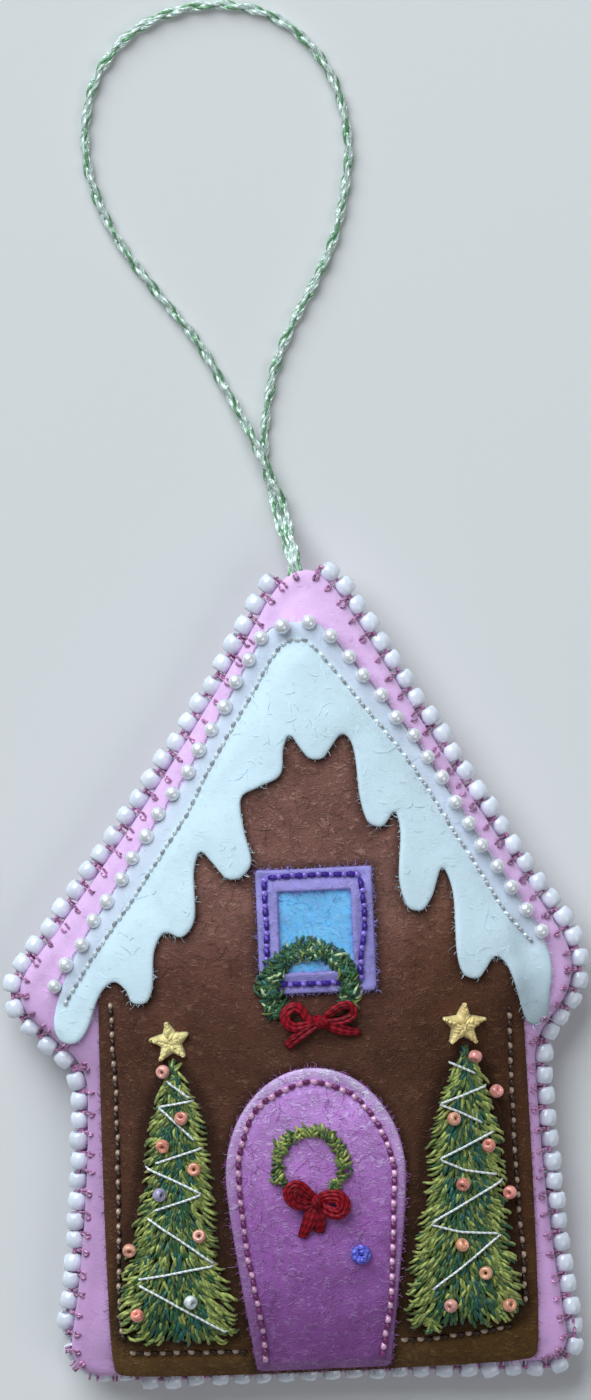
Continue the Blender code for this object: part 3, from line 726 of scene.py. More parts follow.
def fuzz(heap, outline, surface, thickness, rng, on_rim, on_face, reach=0.65):
    """Loose fibres: short ones that stand out of the cut edge, and long ones on the face."""
    closed = np.vstack([outline, outline[:1]])
    far = reach_along(closed)
    t = np.linspace(0.0, 1.0, len(FIBRE_TAPER))
    places = rng.uniform(0.0, far[-1], on_rim)
    x, y = (np.interp(places, far, closed[:, axis]) for axis in (0, 1))
    x2, y2 = (np.interp((places + 0.4) % far[-1], far, closed[:, axis]) for axis in (0, 1))
    heading = np.arctan2(-(x2 - x), y2 - y) + rng.normal(0.0, 0.75, on_rim)
    heading = heading[:, None] + rng.normal(0.0, 1.1, on_rim)[:, None] * t
    size = rng.gamma(3.0, RIM_FIBRE, on_rim)[:, None] * reach
    step = np.column_stack([np.zeros(on_rim), np.cumsum(np.cos(heading[:, 1:]), axis=1) / 4])
    rise = np.column_stack([np.zeros(on_rim), np.cumsum(np.sin(heading[:, 1:]), axis=1) / 4])
    start = surface(x, y) - thickness * rng.uniform(0.05, 0.9, on_rim)
    z = start[:, None] + size * t * rng.normal(0.05, 0.22, on_rim)[:, None]
    rim_paths = np.stack([x[:, None] + size * step, y[:, None] + size * rise, z], axis=-1)

    low, high = outline.min(0), outline.max(0)
    spots = rng.uniform(low, high, (on_face * 3, 2))
    spots = spots[depth(outline, spots[:, 0], spots[:, 1]) > 0.4][:on_face]
    number = len(spots)
    heading = (rng.uniform(0.0, 2 * math.pi, number)[:, None]
               + rng.normal(0.0, 1.3, number)[:, None] * t)
    size = rng.gamma(3.0, FACE_FIBRE, number)[:, None]
    step = np.cumsum(np.cos(heading), axis=1) / 5
    rise = np.cumsum(np.sin(heading), axis=1) / 5
    x, y = spots[:, :1] + size * step, spots[:, 1:] + size * rise
    lift = (np.sin(math.pi * t) - 0.25) * rng.uniform(0.04, 0.30, number)[:, None]
    face_paths = np.stack([x, y, surface(x, y) + lift], axis=-1)
    inside = depth(outline, x[:, -1], y[:, -1]) > 0.0
    for paths in (rim_paths, face_paths[inside]):
        shade = rng.uniform(0.75, 1.5, len(paths))[:, None]
        thin = rng.uniform(*FIBRE_THICKNESS, len(paths))[:, None] * FIBRE_TAPER
        heap.strands(paths, thin, 3, np.repeat(shade, 3, axis=1))


def lay_felt(name, relief, outline, thickness, material, slot, node, rng, hole=None, seams=(),
             cell=0.55, fibres=(600, 500), shade=None):
    """Lays a felt shape on the relief, dented along its seams, and raises the relief by it."""
    def inside(x, y):
        deep = depth(outline, x, y)
        return deep if hole is None else np.minimum(deep, -depth(hole, x, y))

    under = blurred(relief.z, SETTLE)
    top = under + thickness + waves(relief.x, relief.y, 9.0, 0.10, rng)
    for seam in seams:
        away = off_line(seam, relief.x, relief.y)
        top -= SEAM_DENT * np.exp(-(away / SEAM_DENT_REACH) ** 2)
    deep = inside(relief.x, relief.y)
    short = np.clip(EDGE_ROUNDING - deep, 0.0, EDGE_ROUNDING)
    drop = EDGE_ROUNDING - np.sqrt(np.maximum(EDGE_ROUNDING ** 2 - short ** 2, 0.0))
    grid = plan_grid(inside, outline.min(0), outline.max(0), cell, RIM)
    points, rim = grid[0], grid[3]
    high = relief.at(*points.T, top)
    low = relief.at(*points.T, under)
    high[rim] -= 0.03
    rings = [(out, high[rim] - share * (high[rim] - low[rim])) for out, share in EDGE_PROFILE]
    heap = Heap()
    slab(heap, grid, high, low - SUNK, rings, shade)
    surface = partial(relief.at, field=top)
    fuzz(heap, outline, surface, thickness, rng, *fibres)
    if hole is not None:
        fuzz(heap, hole[::-1], surface, thickness, rng, fibres[0] // 3, 0)
    relief.z = np.where(deep > 0.0, top - drop, relief.z)
    item = heap.piece(name, material, slot, node)
    wide, tall = (outline.max(0) - outline.min(0)) * MM
    cut = (area(outline) - (0.0 if hole is None else area(hole))) * MM * MM
    cut = max(cut, LEAST_SHARE * wide * tall)
    return item


# ---- the stuffed body ----
SIMULATION_SCALE = 10.0  # cloth behaves best on a shape about a metre across
VOXEL = 1.7
PRESSURE = 4.0
LAST_FRAME = 20
SLACK = 0.5              # the simulation starts from a pillow this much flatter
HELD = 1.6               # the simulation holds what is this near the seam's height
STEEP_FROM, STEEP_OVER = -35.0, 23.0        # where the front gets steeper towards the base
KEPT_RIM, BLEND = 1.0, 4.0                  # the simulation changes nothing this near the seam
RAY_START = 60.0
MEMBRANE_CELLS, MEMBRANE_PASSES = (3.2, 1.6, 0.8), 900
ROUNDNESS, STEEPER = 0.6, 0.15              # power of the bulge, and how much less at the base


def membrane(outline):
    """Even bulge of a sheet held at the outline, from 0 there to 1 at its highest."""
    sheet = None
    for cell in MEMBRANE_CELLS:
        finer = Relief(cell)
        if sheet is not None:
            finer.z = sheet.at(finer.x, finer.y)
        within = (depth(outline, finer.x, finer.y) > 0.0)[1:-1, 1:-1]
        z = finer.z
        for _ in range(MEMBRANE_PASSES):
            mean = (z[:-2, 1:-1] + z[2:, 1:-1] + z[1:-1, :-2] + z[1:-1, 2:]) / 4.0
            z[1:-1, 1:-1] = np.where(within, mean + cell ** 2 / 4.0, 0.0)
        sheet = finer
    sheet.z /= sheet.z.max()
    return sheet


def pillow_heights(sheet, x, y, slack=0.0):
    """Heights of the stuffed front and back: the front is steeper towards the base, and the
    back is flat where it rests."""
    s = sizes()
    share = share_of((STEEP_FROM - y) / STEEP_OVER)
    bulge = np.maximum(sheet.at(x, y), 0.0)
    felt = s.body_felt / MM
    front = bulge ** (ROUNDNESS - STEEPER * share)
    front = SEAM_HEIGHT + felt + (s.front_rise / MM - slack) * front
    back = SEAM_HEIGHT - felt - (s.back_rise / MM - slack) * bulge ** ROUNDNESS
    return front, np.maximum(back, slack)


def modified(item, kind, **settings):
    """Adds a modifier with those settings and applies it."""
    modifier = item.modifiers.new(kind.lower(), kind)
    for name, value in settings.items():
        setattr(modifier, name, value)
    bpy.ops.object.modifier_apply(modifier=modifier.name)


def blow_up(heap):
    """Stuffs the pillow: a copy is remeshed and blown up as cloth, held at its seam. Returns
    what rays from above and from below meet on it."""
    mesh = bpy.data.meshes.new("stuffing")
    mesh.from_pydata((np.concatenate(heap.points) * MM).tolist(), [], heap.faces)
    pillow = bpy.data.objects.new("stuffing", mesh)
    bpy.context.scene.collection.objects.link(pillow)
    deselect()
    pillow.select_set(True)
    bpy.context.view_layer.objects.active = pillow
    mesh.transform(Matrix.Scale(SIMULATION_SCALE, 4))
    modified(pillow, "REMESH", mode="VOXEL", voxel_size=VOXEL * MM * SIMULATION_SCALE)
    modified(pillow, "SMOOTH", iterations=3)
    size = MM * SIMULATION_SCALE
    held = pillow.vertex_groups.new(name="seam")
    near = [v.index for v in pillow.data.vertices if abs(v.co.z / size - SEAM_HEIGHT) < HELD]
    held.add(near, 1.0, "REPLACE")
    cloth = pillow.modifiers.new("stuffing", "CLOTH")
    cloth.settings.vertex_group_mass = held.name
    cloth.settings.use_pressure = True
    cloth.settings.uniform_pressure_force = PRESSURE
    cloth.settings.effector_weights.gravity = 0.0
    cloth.settings.quality = 6
    cloth.point_cache.frame_start = 1
    cloth.point_cache.frame_end = LAST_FRAME
    for number in range(1, LAST_FRAME + 1):
        bpy.context.scene.frame_set(number)
    bpy.ops.object.modifier_apply(modifier=cloth.name)
    bpy.context.scene.frame_set(1)
    modified(pillow, "SUBSURF", levels=1, render_levels=1)
    points, faces = shape_of(pillow)
    return BVHTree.FromPolygons((points / SIMULATION_SCALE).tolist(), faces)


def ray_heights(tree, relief, wanted, way):
    """Height at which vertical rays meet the tree, where wanted, from above (-1) or below (1)."""
    heights = np.full(relief.z.shape, np.nan)
    for j, i in zip(*np.nonzero(wanted)):
        start = (relief.x[j, i], relief.y[j, i], -way * RAY_START)
        hit = tree.ray_cast(start, (0.0, 0.0, way))[0]
        if hit is not None:
            heights[j, i] = hit[2]
    return heights


def stuff(front, back, outline):
    """Sets the two faces' heights: the plain pillow, and on it what the simulation does."""
    sheet = membrane(outline)
    high, low = pillow_heights(sheet, front.x, front.y)
    inside = partial(depth, outline)
    grid = plan_grid(inside, outline.min(0), outline.max(0), 1.4, RIM)
    top, bottom = pillow_heights(sheet, *grid[0].T, slack=SLACK)
    heap = Heap()
    slab(heap, grid, top, bottom, [(0.25, 0.5 * (top + bottom)[grid[3]])])
    tree = blow_up(heap)
    deep = inside(front.x, front.y)
    within = deep > KEPT_RIM
    share = eased((deep - KEPT_RIM) / BLEND)
    limit = sizes().swell / MM
    for plain, way in ((high, -1.0), (low, 1.0)):
        met = ray_heights(tree, front, within, way)
        change = np.clip(np.nan_to_num(met - plain), -limit, limit)
        plain += blurred(share * change, 0.5)
    front.z = high
    back.z = -np.maximum(low, 0.0)


# ---- materials ----
class Recipe:
    """Short way to write shader nodes into one tree."""

    def __init__(self, tree):
        self.tree = tree

    def add(self, kind, settings=None, inputs=None):
        node = self.tree.nodes.new(kind)
        for name, value in (settings or {}).items():
            setattr(node, name, value)
        for name, value in (inputs or {}).items():
            self.feed(node.inputs[name], value)
        return node

    def feed(self, socket, value):
        if isinstance(value, bpy.types.NodeSocket):
            self.tree.links.new(value, socket)
        else:
            socket.default_value = value

    def math(self, operation, *values):
        node = self.add("ShaderNodeMath", {"operation": operation})
        for socket, value in zip(node.inputs, values):
            self.feed(socket, value)
        return node.outputs[0]

    def vector(self, operation, first, second=None, scale=None):
        node = self.add("ShaderNodeVectorMath", {"operation": operation})
        self.feed(node.inputs[0], first)
        if second is not None:
            self.feed(node.inputs[1], second)
        if scale is not None:
            self.feed(node.inputs["Scale"], scale)
        return node.outputs["Value" if operation == "LENGTH" else 0]

    def mix(self, factor, first, second, blend="MIX"):
        node = self.add("ShaderNodeMix", {"data_type": "RGBA", "blend_type": blend})
        for place, value in ((0, factor), (6, first), (7, second)):
            if place and isinstance(value, tuple) and len(value) == 3:
                value = (*value, 1.0)
            self.feed(node.inputs[place], value)
        return node.outputs[2]

    def noise(self, vector, scale, detail=2.0, roughness=0.5, output="Fac"):
        return self.add("ShaderNodeTexNoise", inputs={
            "Vector": vector, "Scale": scale, "Detail": detail,
            "Roughness": roughness}).outputs[output]

    def group(self, tree, **inputs):
        return self.add("ShaderNodeGroup", {"node_tree": tree}, inputs).outputs

    def spread(self, value, low, high, to_low=0.0, to_high=1.0):
        return self.add("ShaderNodeMapRange", {"interpolation_type": "SMOOTHSTEP"}, {
            "Value": value, "From Min": low, "From Max": high, "To Min": to_low,
            "To Max": to_high}).outputs[0]

    def turned(self, vector, degrees, scale):
        return self.add("ShaderNodeMapping", inputs={
            "Vector": vector, "Rotation": (0.0, 0.0, math.radians(degrees)),
            "Scale": scale}).outputs[0]

    def millimetres(self):
        """Place on the piece, in millimetres."""
        place = self.add("ShaderNodeTexCoord").outputs["Object"]
        return self.vector("SCALE", place, scale=1.0 / MM)


def node_group(name, inputs, outputs):
    """Empty shader group with those sockets, and a recipe to fill it with."""
    tree = bpy.data.node_groups.new(name, "ShaderNodeTree")
    for label, value in inputs:
        socket = tree.interface.new_socket(name=label, in_out="INPUT",
                                           socket_type="NodeSocketFloat")
        socket.default_value = value
    for label in outputs:
        tree.interface.new_socket(name=label, in_out="OUTPUT", socket_type="NodeSocketFloat")
    recipe = Recipe(tree)
    return recipe, recipe.add("NodeGroupInput"), recipe.add("NodeGroupOutput")


def matted_fibres():
    """Group: the hairs, the cloudiness and the height of matted wool felt."""
    name = "matted_fibres"
    if name in bpy.data.node_groups:
        return bpy.data.node_groups[name]
    r, given, out = node_group(name, [("Coarseness", 1.0)], ["Hairs", "Clouds", "Height"])
    place = r.vector("SCALE", r.millimetres(),
                     scale=r.math("DIVIDE", 1.0, given.outputs["Coarseness"]))
    drift = r.vector("SUBTRACT", r.noise(place, 0.45, 1.0, output="Color"), (0.5, 0.5, 0.5))
    curled = r.vector("ADD", place, r.vector("SCALE", drift, scale=2.4))
    hairs = None
    for turn, size in ((10.0, 0.62), (-16.0, 0.75), (34.0, 0.9), (-58.0, 1.25)):
        streaks = r.noise(r.turned(curled, turn, (0.28, 1.5, 0.9)), size, 1.0)
        ridge = r.math("ABSOLUTE", r.math("SUBTRACT", streaks, 0.5))
        hair = r.spread(ridge, 0.0, 0.035, 1.0, 0.0)
        hairs = hair if hairs is None else r.math("MAXIMUM", hairs, hair)
    gaps = r.spread(r.noise(place, 0.8, 3.0), 0.38, 0.62)
    hairs = r.math("MULTIPLY", hairs, gaps)
    clouds = r.noise(place, 0.22, 6.0, 0.62)
    nap = r.noise(place, 3.2, 3.0, 0.6)
    height = r.math("ADD", r.math("MULTIPLY", nap, 0.5), r.math("MULTIPLY", hairs, 0.45))
    height = r.math("ADD", height, r.math("MULTIPLY", clouds, 0.8))
    for label, value in (("Hairs", hairs), ("Clouds", clouds), ("Height", height)):
        r.feed(out.inputs[label], value)
    return r.tree


def twisted_plies():
    """Group: the two plies that wind round a thread, from its points' places on it."""
    name = "twisted_plies"
    if name in bpy.data.node_groups:
        return bpy.data.node_groups[name]
    r, given, out = node_group(name, [("Pitch", 1.0)], ["Plies", "Height"])
    lay = r.add("ShaderNodeAttribute", {"attribute_name": "lay"}).outputs["Vector"]
    parts = r.add("ShaderNodeSeparateXYZ", inputs={"Vector": lay}).outputs
    turn = r.math("MULTIPLY", r.math("DIVIDE", parts[0], given.outputs["Pitch"]), 2 * math.pi)
    wave = r.math("ADD", r.math("MULTIPLY", parts[1], r.math("SINE", turn)),
                  r.math("MULTIPLY", parts[2], r.math("COSINE", turn)))
    plies = r.spread(wave, -0.9, 0.6)
    strands = r.noise(r.millimetres(), 5.0, 2.0, 0.6)
    height = r.math("ADD", plies, r.math("MULTIPLY", strands, 0.5))
    r.feed(out.inputs["Plies"], plies)
    r.feed(out.inputs["Height"], height)
    return r.tree


def start_material(name, **values):
    """New material whose shader has these plain values, and its recipe and shader."""
    material = bpy.data.materials.new(name)
    material.use_nodes = True
    r = Recipe(material.node_tree)
    shader = material.node_tree.nodes["Principled BSDF"]
    for label, value in values.items():
        r.feed(shader.inputs[label.replace("_", " ")], value)
    return material, r, shader


def scaled(shade, factor):
    """The colour made lighter or darker, and opaque."""
    return (*(min(1.0, c * factor) for c in shade), 1.0)


def coloured(r, shader, base):
    """Joins the colour, times the points' own tint, to the shader."""
    tint = r.add("ShaderNodeAttribute", {"attribute_name": "tint"}).outputs["Color"]
    r.feed(shader.inputs["Base Color"], r.mix(1.0, base, tint, "MULTIPLY"))


def raised(r, shader, height, distance, strength=1.0):
    """Joins a height pattern to the shader's normal; distance in millimetres."""
    bump = r.add("ShaderNodeBump", inputs={
        "Strength": strength, "Distance": distance * MM, "Height": height})
    r.feed(shader.inputs["Normal"], bump.outputs["Normal"])


def felt_material(name, shade, hair, coarseness=1.0, clouds=0.22, hairs=0.4, sheen=0.35,
                  relief=0.22):
    """Wool felt: cloudy colour with paler and darker hairs, a matt nap and a soft sheen."""
    material, r, shader = start_material(name, Roughness=0.93, Sheen_Weight=sheen,
                                         Sheen_Roughness=0.6, Specular_IOR_Level=0.15)
    shader.inputs["Sheen Tint"].default_value = scaled(shade, 1.6)
    fibres = r.group(matted_fibres(), Coarseness=coarseness)
    cloud = r.spread(fibres["Clouds"], 0.28, 0.72)
    base = r.mix(cloud, scaled(shade, 1.0 - clouds), scaled(shade, 1.0 + clouds))
    base = r.mix(r.math("MULTIPLY", fibres["Hairs"], hairs), base, (*hair, 1.0))
    coloured(r, shader, base)
    raised(r, shader, fibres["Height"], relief, 0.9)
    return material


def thread_material(name, shade=(1.0, 1.0, 1.0), pitch=1.1, roughness=0.5, depth_mm=0.08,
                    between=0.5, sheen=0.2):
    """Stranded cotton: two plies wound round each other, with painted shade between them and a
    painted highlight along them.
    """
    material, r, shader = start_material(name, Roughness=roughness, Sheen_Weight=sheen,
                                         Specular_IOR_Level=0.25 + sheen)
    twist = r.group(twisted_plies(), Pitch=pitch)
    coloured(r, shader, r.mix(twist["Plies"], scaled(shade, between), scaled(shade, 1.15)))
    raised(r, shader, twist["Height"], depth_mm)
    return material


def metallic_thread(name, dark, bright, pitch=1.0, painted_glint_share=0.5, roughness=0.3, metal=0.75):
    """Metallised foil thread, with painted glints and painted shade along its plies and in spots.
    """
    material, r, shader = start_material(name, Metallic=metal, Roughness=roughness)
    twist = r.group(twisted_plies(), Pitch=pitch)
    # painted glints: random spots where the thread's colour is painted bright or dark
    flash = r.noise(r.millimetres(), 2.6, 3.0, 0.7)
    share = r.math("ADD", r.math("MULTIPLY", twist["Plies"], 1.0 - painted_glint_share),
                   r.math("MULTIPLY", r.spread(flash, 0.4, 0.6), painted_glint_share))
    base = r.mix(share, scaled(dark, 1.0), scaled(bright, 1.0))
    coloured(r, shader, base)
    raised(r, shader, twist["Height"], 0.10)
    return material


def bead_material(name, shade, roughness=0.1, coat=0.6, veil=0.1, metal=0.0, dents=0.05):
    """Glossy bead: its colour drifts a little, with a clear coat on top."""
    material, r, shader = start_material(name, Coat_Weight=coat, Coat_Roughness=0.04,
                                         Metallic=metal, IOR=1.5)
    drift = r.noise(r.millimetres(), 0.7, 2.0)
    cloudy = r.spread(drift, 0.3, 0.7)
    base = r.mix(cloudy, scaled(shade, 1.0 - veil), scaled(shade, 1.0 + veil))
    coloured(r, shader, base)
    r.feed(shader.inputs["Roughness"], r.spread(drift, 0.2, 0.8, roughness * 0.7, roughness * 1.5))
    specks = r.noise(r.millimetres(), 1.6, 1.0)
    raised(r, shader, specks, dents, 0.5)
    return material


def floor_material(name, shade):
    """Matt paper, faintly cloudy."""
    material, r, shader = start_material(name, Specular_IOR_Level=0.2)
    place = r.add("ShaderNodeTexCoord").outputs["Object"]
    cloud = r.noise(place, 6.0, 4.0)
    grain = r.noise(place, 900.0, 2.0)
    r.feed(shader.inputs["Base Color"], r.mix(cloud, scaled(shade, 0.985), scaled(shade, 1.01)))
    r.feed(shader.inputs["Roughness"], r.spread(grain, 0.2, 0.8, 0.8, 0.95))
    raised(r, shader, grain, 0.05, 0.3)
    return material


# ---- threads and beads ----
STITCH_SINK, STITCH_RISE = 0.4, 0.34    # a backstitch's ends are this deep, its middle this high


def backstitches(heap, relief, line, pitch, radius, rng, gaps, tint):
    """Sews even stitches along a line on the relief, each with a gap before and after it."""
    fine = along(line, 240)
    count = max(1, round(reach_along(fine)[-1] / pitch))
    ends = spaced(fine, count + 1) + rng.normal(0.0, 0.07, (count + 1, 2))
    a, b = ends[:-1], ends[1:]
    t = np.linspace(0.0, 1.0, 8)
    share = (gaps[0] / pitch + t * (1.0 - sum(gaps) / pitch))[None, :, None]
    plan = a[:, None] + (b - a)[:, None] * share
    lift = -STITCH_SINK + (STITCH_SINK + STITCH_RISE) * np.sin(math.pi * t) ** 0.6
    lift = lift[None] * np.ones((count, 1)) + rng.normal(0, 0.03, (count, 1))
    thick = radius * (0.78 + 0.22 * np.sin(math.pi * t))[None] * rng.uniform(0.92, 1.1, (count, 1))
    shade = rng.uniform(0.85, 1.12, (count, 1)) * np.array(tint)[None]
    heap.strands(relief.place(plan, lift), thick, 8, shade, flat=0.85)


def fan_stitches(heap, relief, starts, ends, lifts, radius, tints, rng, bow=0.12, sides=5):
    """Lays single stitches from starts to ends, at those lifts along each."""
    number, rings = len(starts), len(lifts)
    t = np.linspace(0.0, 1.0, rings)
    run = ends - starts
    across = leftwards(run) * rng.normal(0.0, bow, (number, 1))
    plan = (starts[:, None] + run[:, None] * t[None, :, None]
            + across[:, None] * np.sin(math.pi * t)[None, :, None])
    lift = np.asarray(lifts)[None] * rng.uniform(0.8, 1.2, (number, 1))
    thick = radius * (0.7 + 0.3 * np.sin(math.pi * t))[None] * rng.uniform(0.85, 1.15, (number, 1))
    heap.strands(relief.place(plan, lift), thick, sides, tints)


def pick_tints(names, weights, number, rng, spread=0.16):
    """Random thread colours by weight, each a little lighter or darker."""
    palette = np.array([tuple(getattr(colours(), name)) for name in names])
    weights = np.asarray(weights, float)
    chosen = palette[rng.choice(len(names), number, p=weights / weights.sum())]
    return chosen * rng.uniform(1.0 - spread, 1.0 + spread, (number, 1))


def bead_shape(across, along_hole, segments, rounds, hole_share=0.22):
    """A drilled glass bead, its hole along Z: a ring stretched along its hole, its ends
    flattened as cut glass tube is."""
    thick = across * (1.0 - hole_share) / 4.0
    deselect()
    bpy.ops.mesh.primitive_torus_add(
        major_segments=segments, minor_segments=rounds,
        major_radius=(across / 2 - thick) * MM, minor_radius=thick * MM)
    item = bpy.context.object
    bpy.ops.object.mode_set(mode="EDIT")
    bpy.ops.mesh.select_all(action="SELECT")
    bpy.ops.transform.resize(value=(1.0, 1.0, along_hole / (2 * thick)))
    select_points(item, lambda p: abs(p.z) > 0.45 * along_hole)
    bpy.ops.transform.resize(value=(1.06, 1.06, 0.93))
    bpy.ops.object.mode_set(mode="OBJECT")
    return shape_of(item)


def pearl_shape(across, segments, rings):
    """A pearl, its drilled hole along Z: a ball whose poles are inset and pushed in."""
    deselect()
    bpy.ops.mesh.primitive_uv_sphere_add(segments=segments, ring_count=rings,
                                         radius=across / 2 * MM)
    item = bpy.context.object
    bpy.ops.object.mode_set(mode="EDIT")
    for side in (1.0, -1.0):
        select_points(item, lambda p: p.z * side > 0.999 * across / 2)
        bpy.ops.transform.translate(value=(0.0, 0.0, -side * 0.35 * across * MM))
    bpy.ops.object.mode_set(mode="OBJECT")
    return shape_of(item)


def turned_to(direction, place, roll=0.0, scale=1.0):
    """Matrix that stands a shape's Z along the direction at that place."""
    turn = Vector(direction).to_track_quat("Z", "Y").to_matrix().to_4x4()
    spin = Matrix.Rotation(roll, 4, "Z")
    return Matrix.Translation(Vector(place)) @ turn @ spin @ Matrix.Scale(scale, 4)


# ---- what the operators share ----
bench = {}


def random_source(step):
    """Random numbers of one step of the work, the same each run."""
    return np.random.default_rng(sizes().seed * 100 + step)


def need(name, maker):
    """Something that an earlier step left on the bench."""
    if name not in bench:
        raise RuntimeError(f"run {maker} first")
    return bench[name]


class StudioOperator(Operator):
    """Sets the floor, the soft lights and the camera"""
    bl_idname = "ornament.studio"
    bl_label = "Set up the studio"

    TARGET = Vector((1.85, 44.4, 15.0)) * MM
    TILT = math.radians(7.0)          # the camera leans towards the gable
    ROLL = math.radians(2.5)
    DISTANCE = 3.0
    FRAMED_HEIGHT = 0.217             # what the long side of the picture takes in
    FLOOR_SIZE, FLOOR_DROP = 6.0, 0.0001
    # name, place, what it points at, size, power and colour
    LIGHTS = [
        ("window_light", (-0.96, 2.08, 1.68), (0.0, 0.0, 0.0), 2.8, 98.4, (0.86, 0.94, 1.0)),
        ("fill_light", (1.80, -1.00, 2.40), (0.0, 0.02, 0.0), 2.4, 18.4, (0.95, 0.97, 1.0)),
    ]
    SKY, SKY_STRENGTH = (0.86, 0.93, 1.0, 1.0), 0.15

    def execute(self, context):
        self.floor()
        self.lights(context)
        self.camera(context)
        return {"FINISHED"}

    def floor(self):
        deselect()
        bpy.ops.mesh.primitive_plane_add(size=self.FLOOR_SIZE,
                                         location=(0.0, 0.0, -self.FLOOR_DROP))
        floor = bpy.context.object
        floor.name = "studio_floor"
        bpy.ops.object.transform_apply(location=True)
        floor.data.materials.append(floor_material("studio_paper", colours().floor))

    def lights(self, context):
        for name, place, target, size, power, shade in self.LIGHTS:
            light = bpy.data.lights.new(name, "AREA")
            light.shape = "DISK"
            light.size = size
            light.energy = power
            light.color = shade
            lamp = bpy.data.objects.new(name, light)
            lamp.location = place
            aim = Vector(target) - Vector(place)
            lamp.rotation_euler = aim.to_track_quat("-Z", "Y").to_euler()
            context.scene.collection.objects.link(lamp)
        world = context.scene.world or bpy.data.worlds.new("studio")
        context.scene.world = world
        world.use_nodes = True
        sky = world.node_tree.nodes["Background"]
        sky.inputs["Color"].default_value = self.SKY
        sky.inputs["Strength"].default_value = self.SKY_STRENGTH
        context.scene.view_settings.view_transform = "Standard"

    def camera(self, context):
        lens = bpy.data.cameras.new("camera")
        lens.sensor_width = 36.0
        lens.lens = lens.sensor_width * self.DISTANCE / self.FRAMED_HEIGHT
        lens.clip_start, lens.clip_end = 0.01, 20.0
        camera = bpy.data.objects.new("camera", lens)
        back = Vector((0.0, math.sin(self.TILT), math.cos(self.TILT)))
        upright = Vector((0.0, math.cos(self.TILT), -math.sin(self.TILT)))
        level = Vector((1.0, 0.0, 0.0))
        right = math.cos(self.ROLL) * level - math.sin(self.ROLL) * upright
        up = math.sin(self.ROLL) * level + math.cos(self.ROLL) * upright
        camera.matrix_world = (Matrix.Translation(self.TARGET + back * self.DISTANCE)
                               @ Matrix((right, up, back)).transposed().to_4x4())
        context.scene.collection.objects.link(camera)
        context.scene.camera = camera


class CordOperator(Operator):
    """Twists the metallic hanging cord along its route"""
    bl_idname = "ornament.cord"
    bl_label = "Twist the cord"

    RINGS = 440
    TURN = 8.6               # one turn of a ply round the cord
    STRAND_TURN = 5.6        # one turn of a strand round its ply
    STRANDS = 4
    PLY_SHARE, STRAND_SHARE = 0.48, 0.34    # of the cord's radius: plies' offset, strands' radius

    def execute(self, context):
        s, c = sizes(), colours()
        rng = random_source(1)
        centre = along(CORD_ROUTE, self.RINGS)
        reach = reach_along(centre)
        ahead = unit(np.gradient(centre, axis=0))
        across = unit(np.cross(ahead, (0.0, 0.0, 1.0)))
        up = np.cross(across, ahead)
        half = s.cord / MM / 2
        ply_radius, strand_radius = self.PLY_SHARE * half, self.STRAND_SHARE * half
        paths, tints = [], []

        def outwards(turn):
            return np.cos(turn)[:, None] * across + np.sin(turn)[:, None] * up

        for ply in range(2):
            ply_out = outwards(2 * math.pi * reach / self.TURN + math.pi * ply)
            for strand in range(self.STRANDS):
                own = 2 * math.pi * (strand / self.STRANDS - reach / self.STRAND_TURN)
                own = own + 0.35 * np.sin(reach / rng.uniform(1.6, 3.0) + rng.uniform(0, 6))
                paths.append(centre + ply_radius * ply_out + strand_radius * outwards(own))
                pale = strand != 1 + ply
                tints.append(tuple(c.cord_mint if pale else c.cord_green))
        heap = Heap()
        heap.strands(paths, strand_radius, 6, tints)
        material = metallic_thread("metallic_cord_thread", (0.50, 0.62, 0.54), (1.0, 1.0, 1.0),
                                   pitch=1.6, painted_glint_share=0.6, roughness=0.34, metal=0.35)
        cord = heap.piece("hanging_cord_twist", material, "metallic_cord", "hanging_cord")
        route = along(CORD_ROUTE, 120)
        tuple(Vector(CORD_ROUTE[0]) * MM)
        return {"FINISHED"}


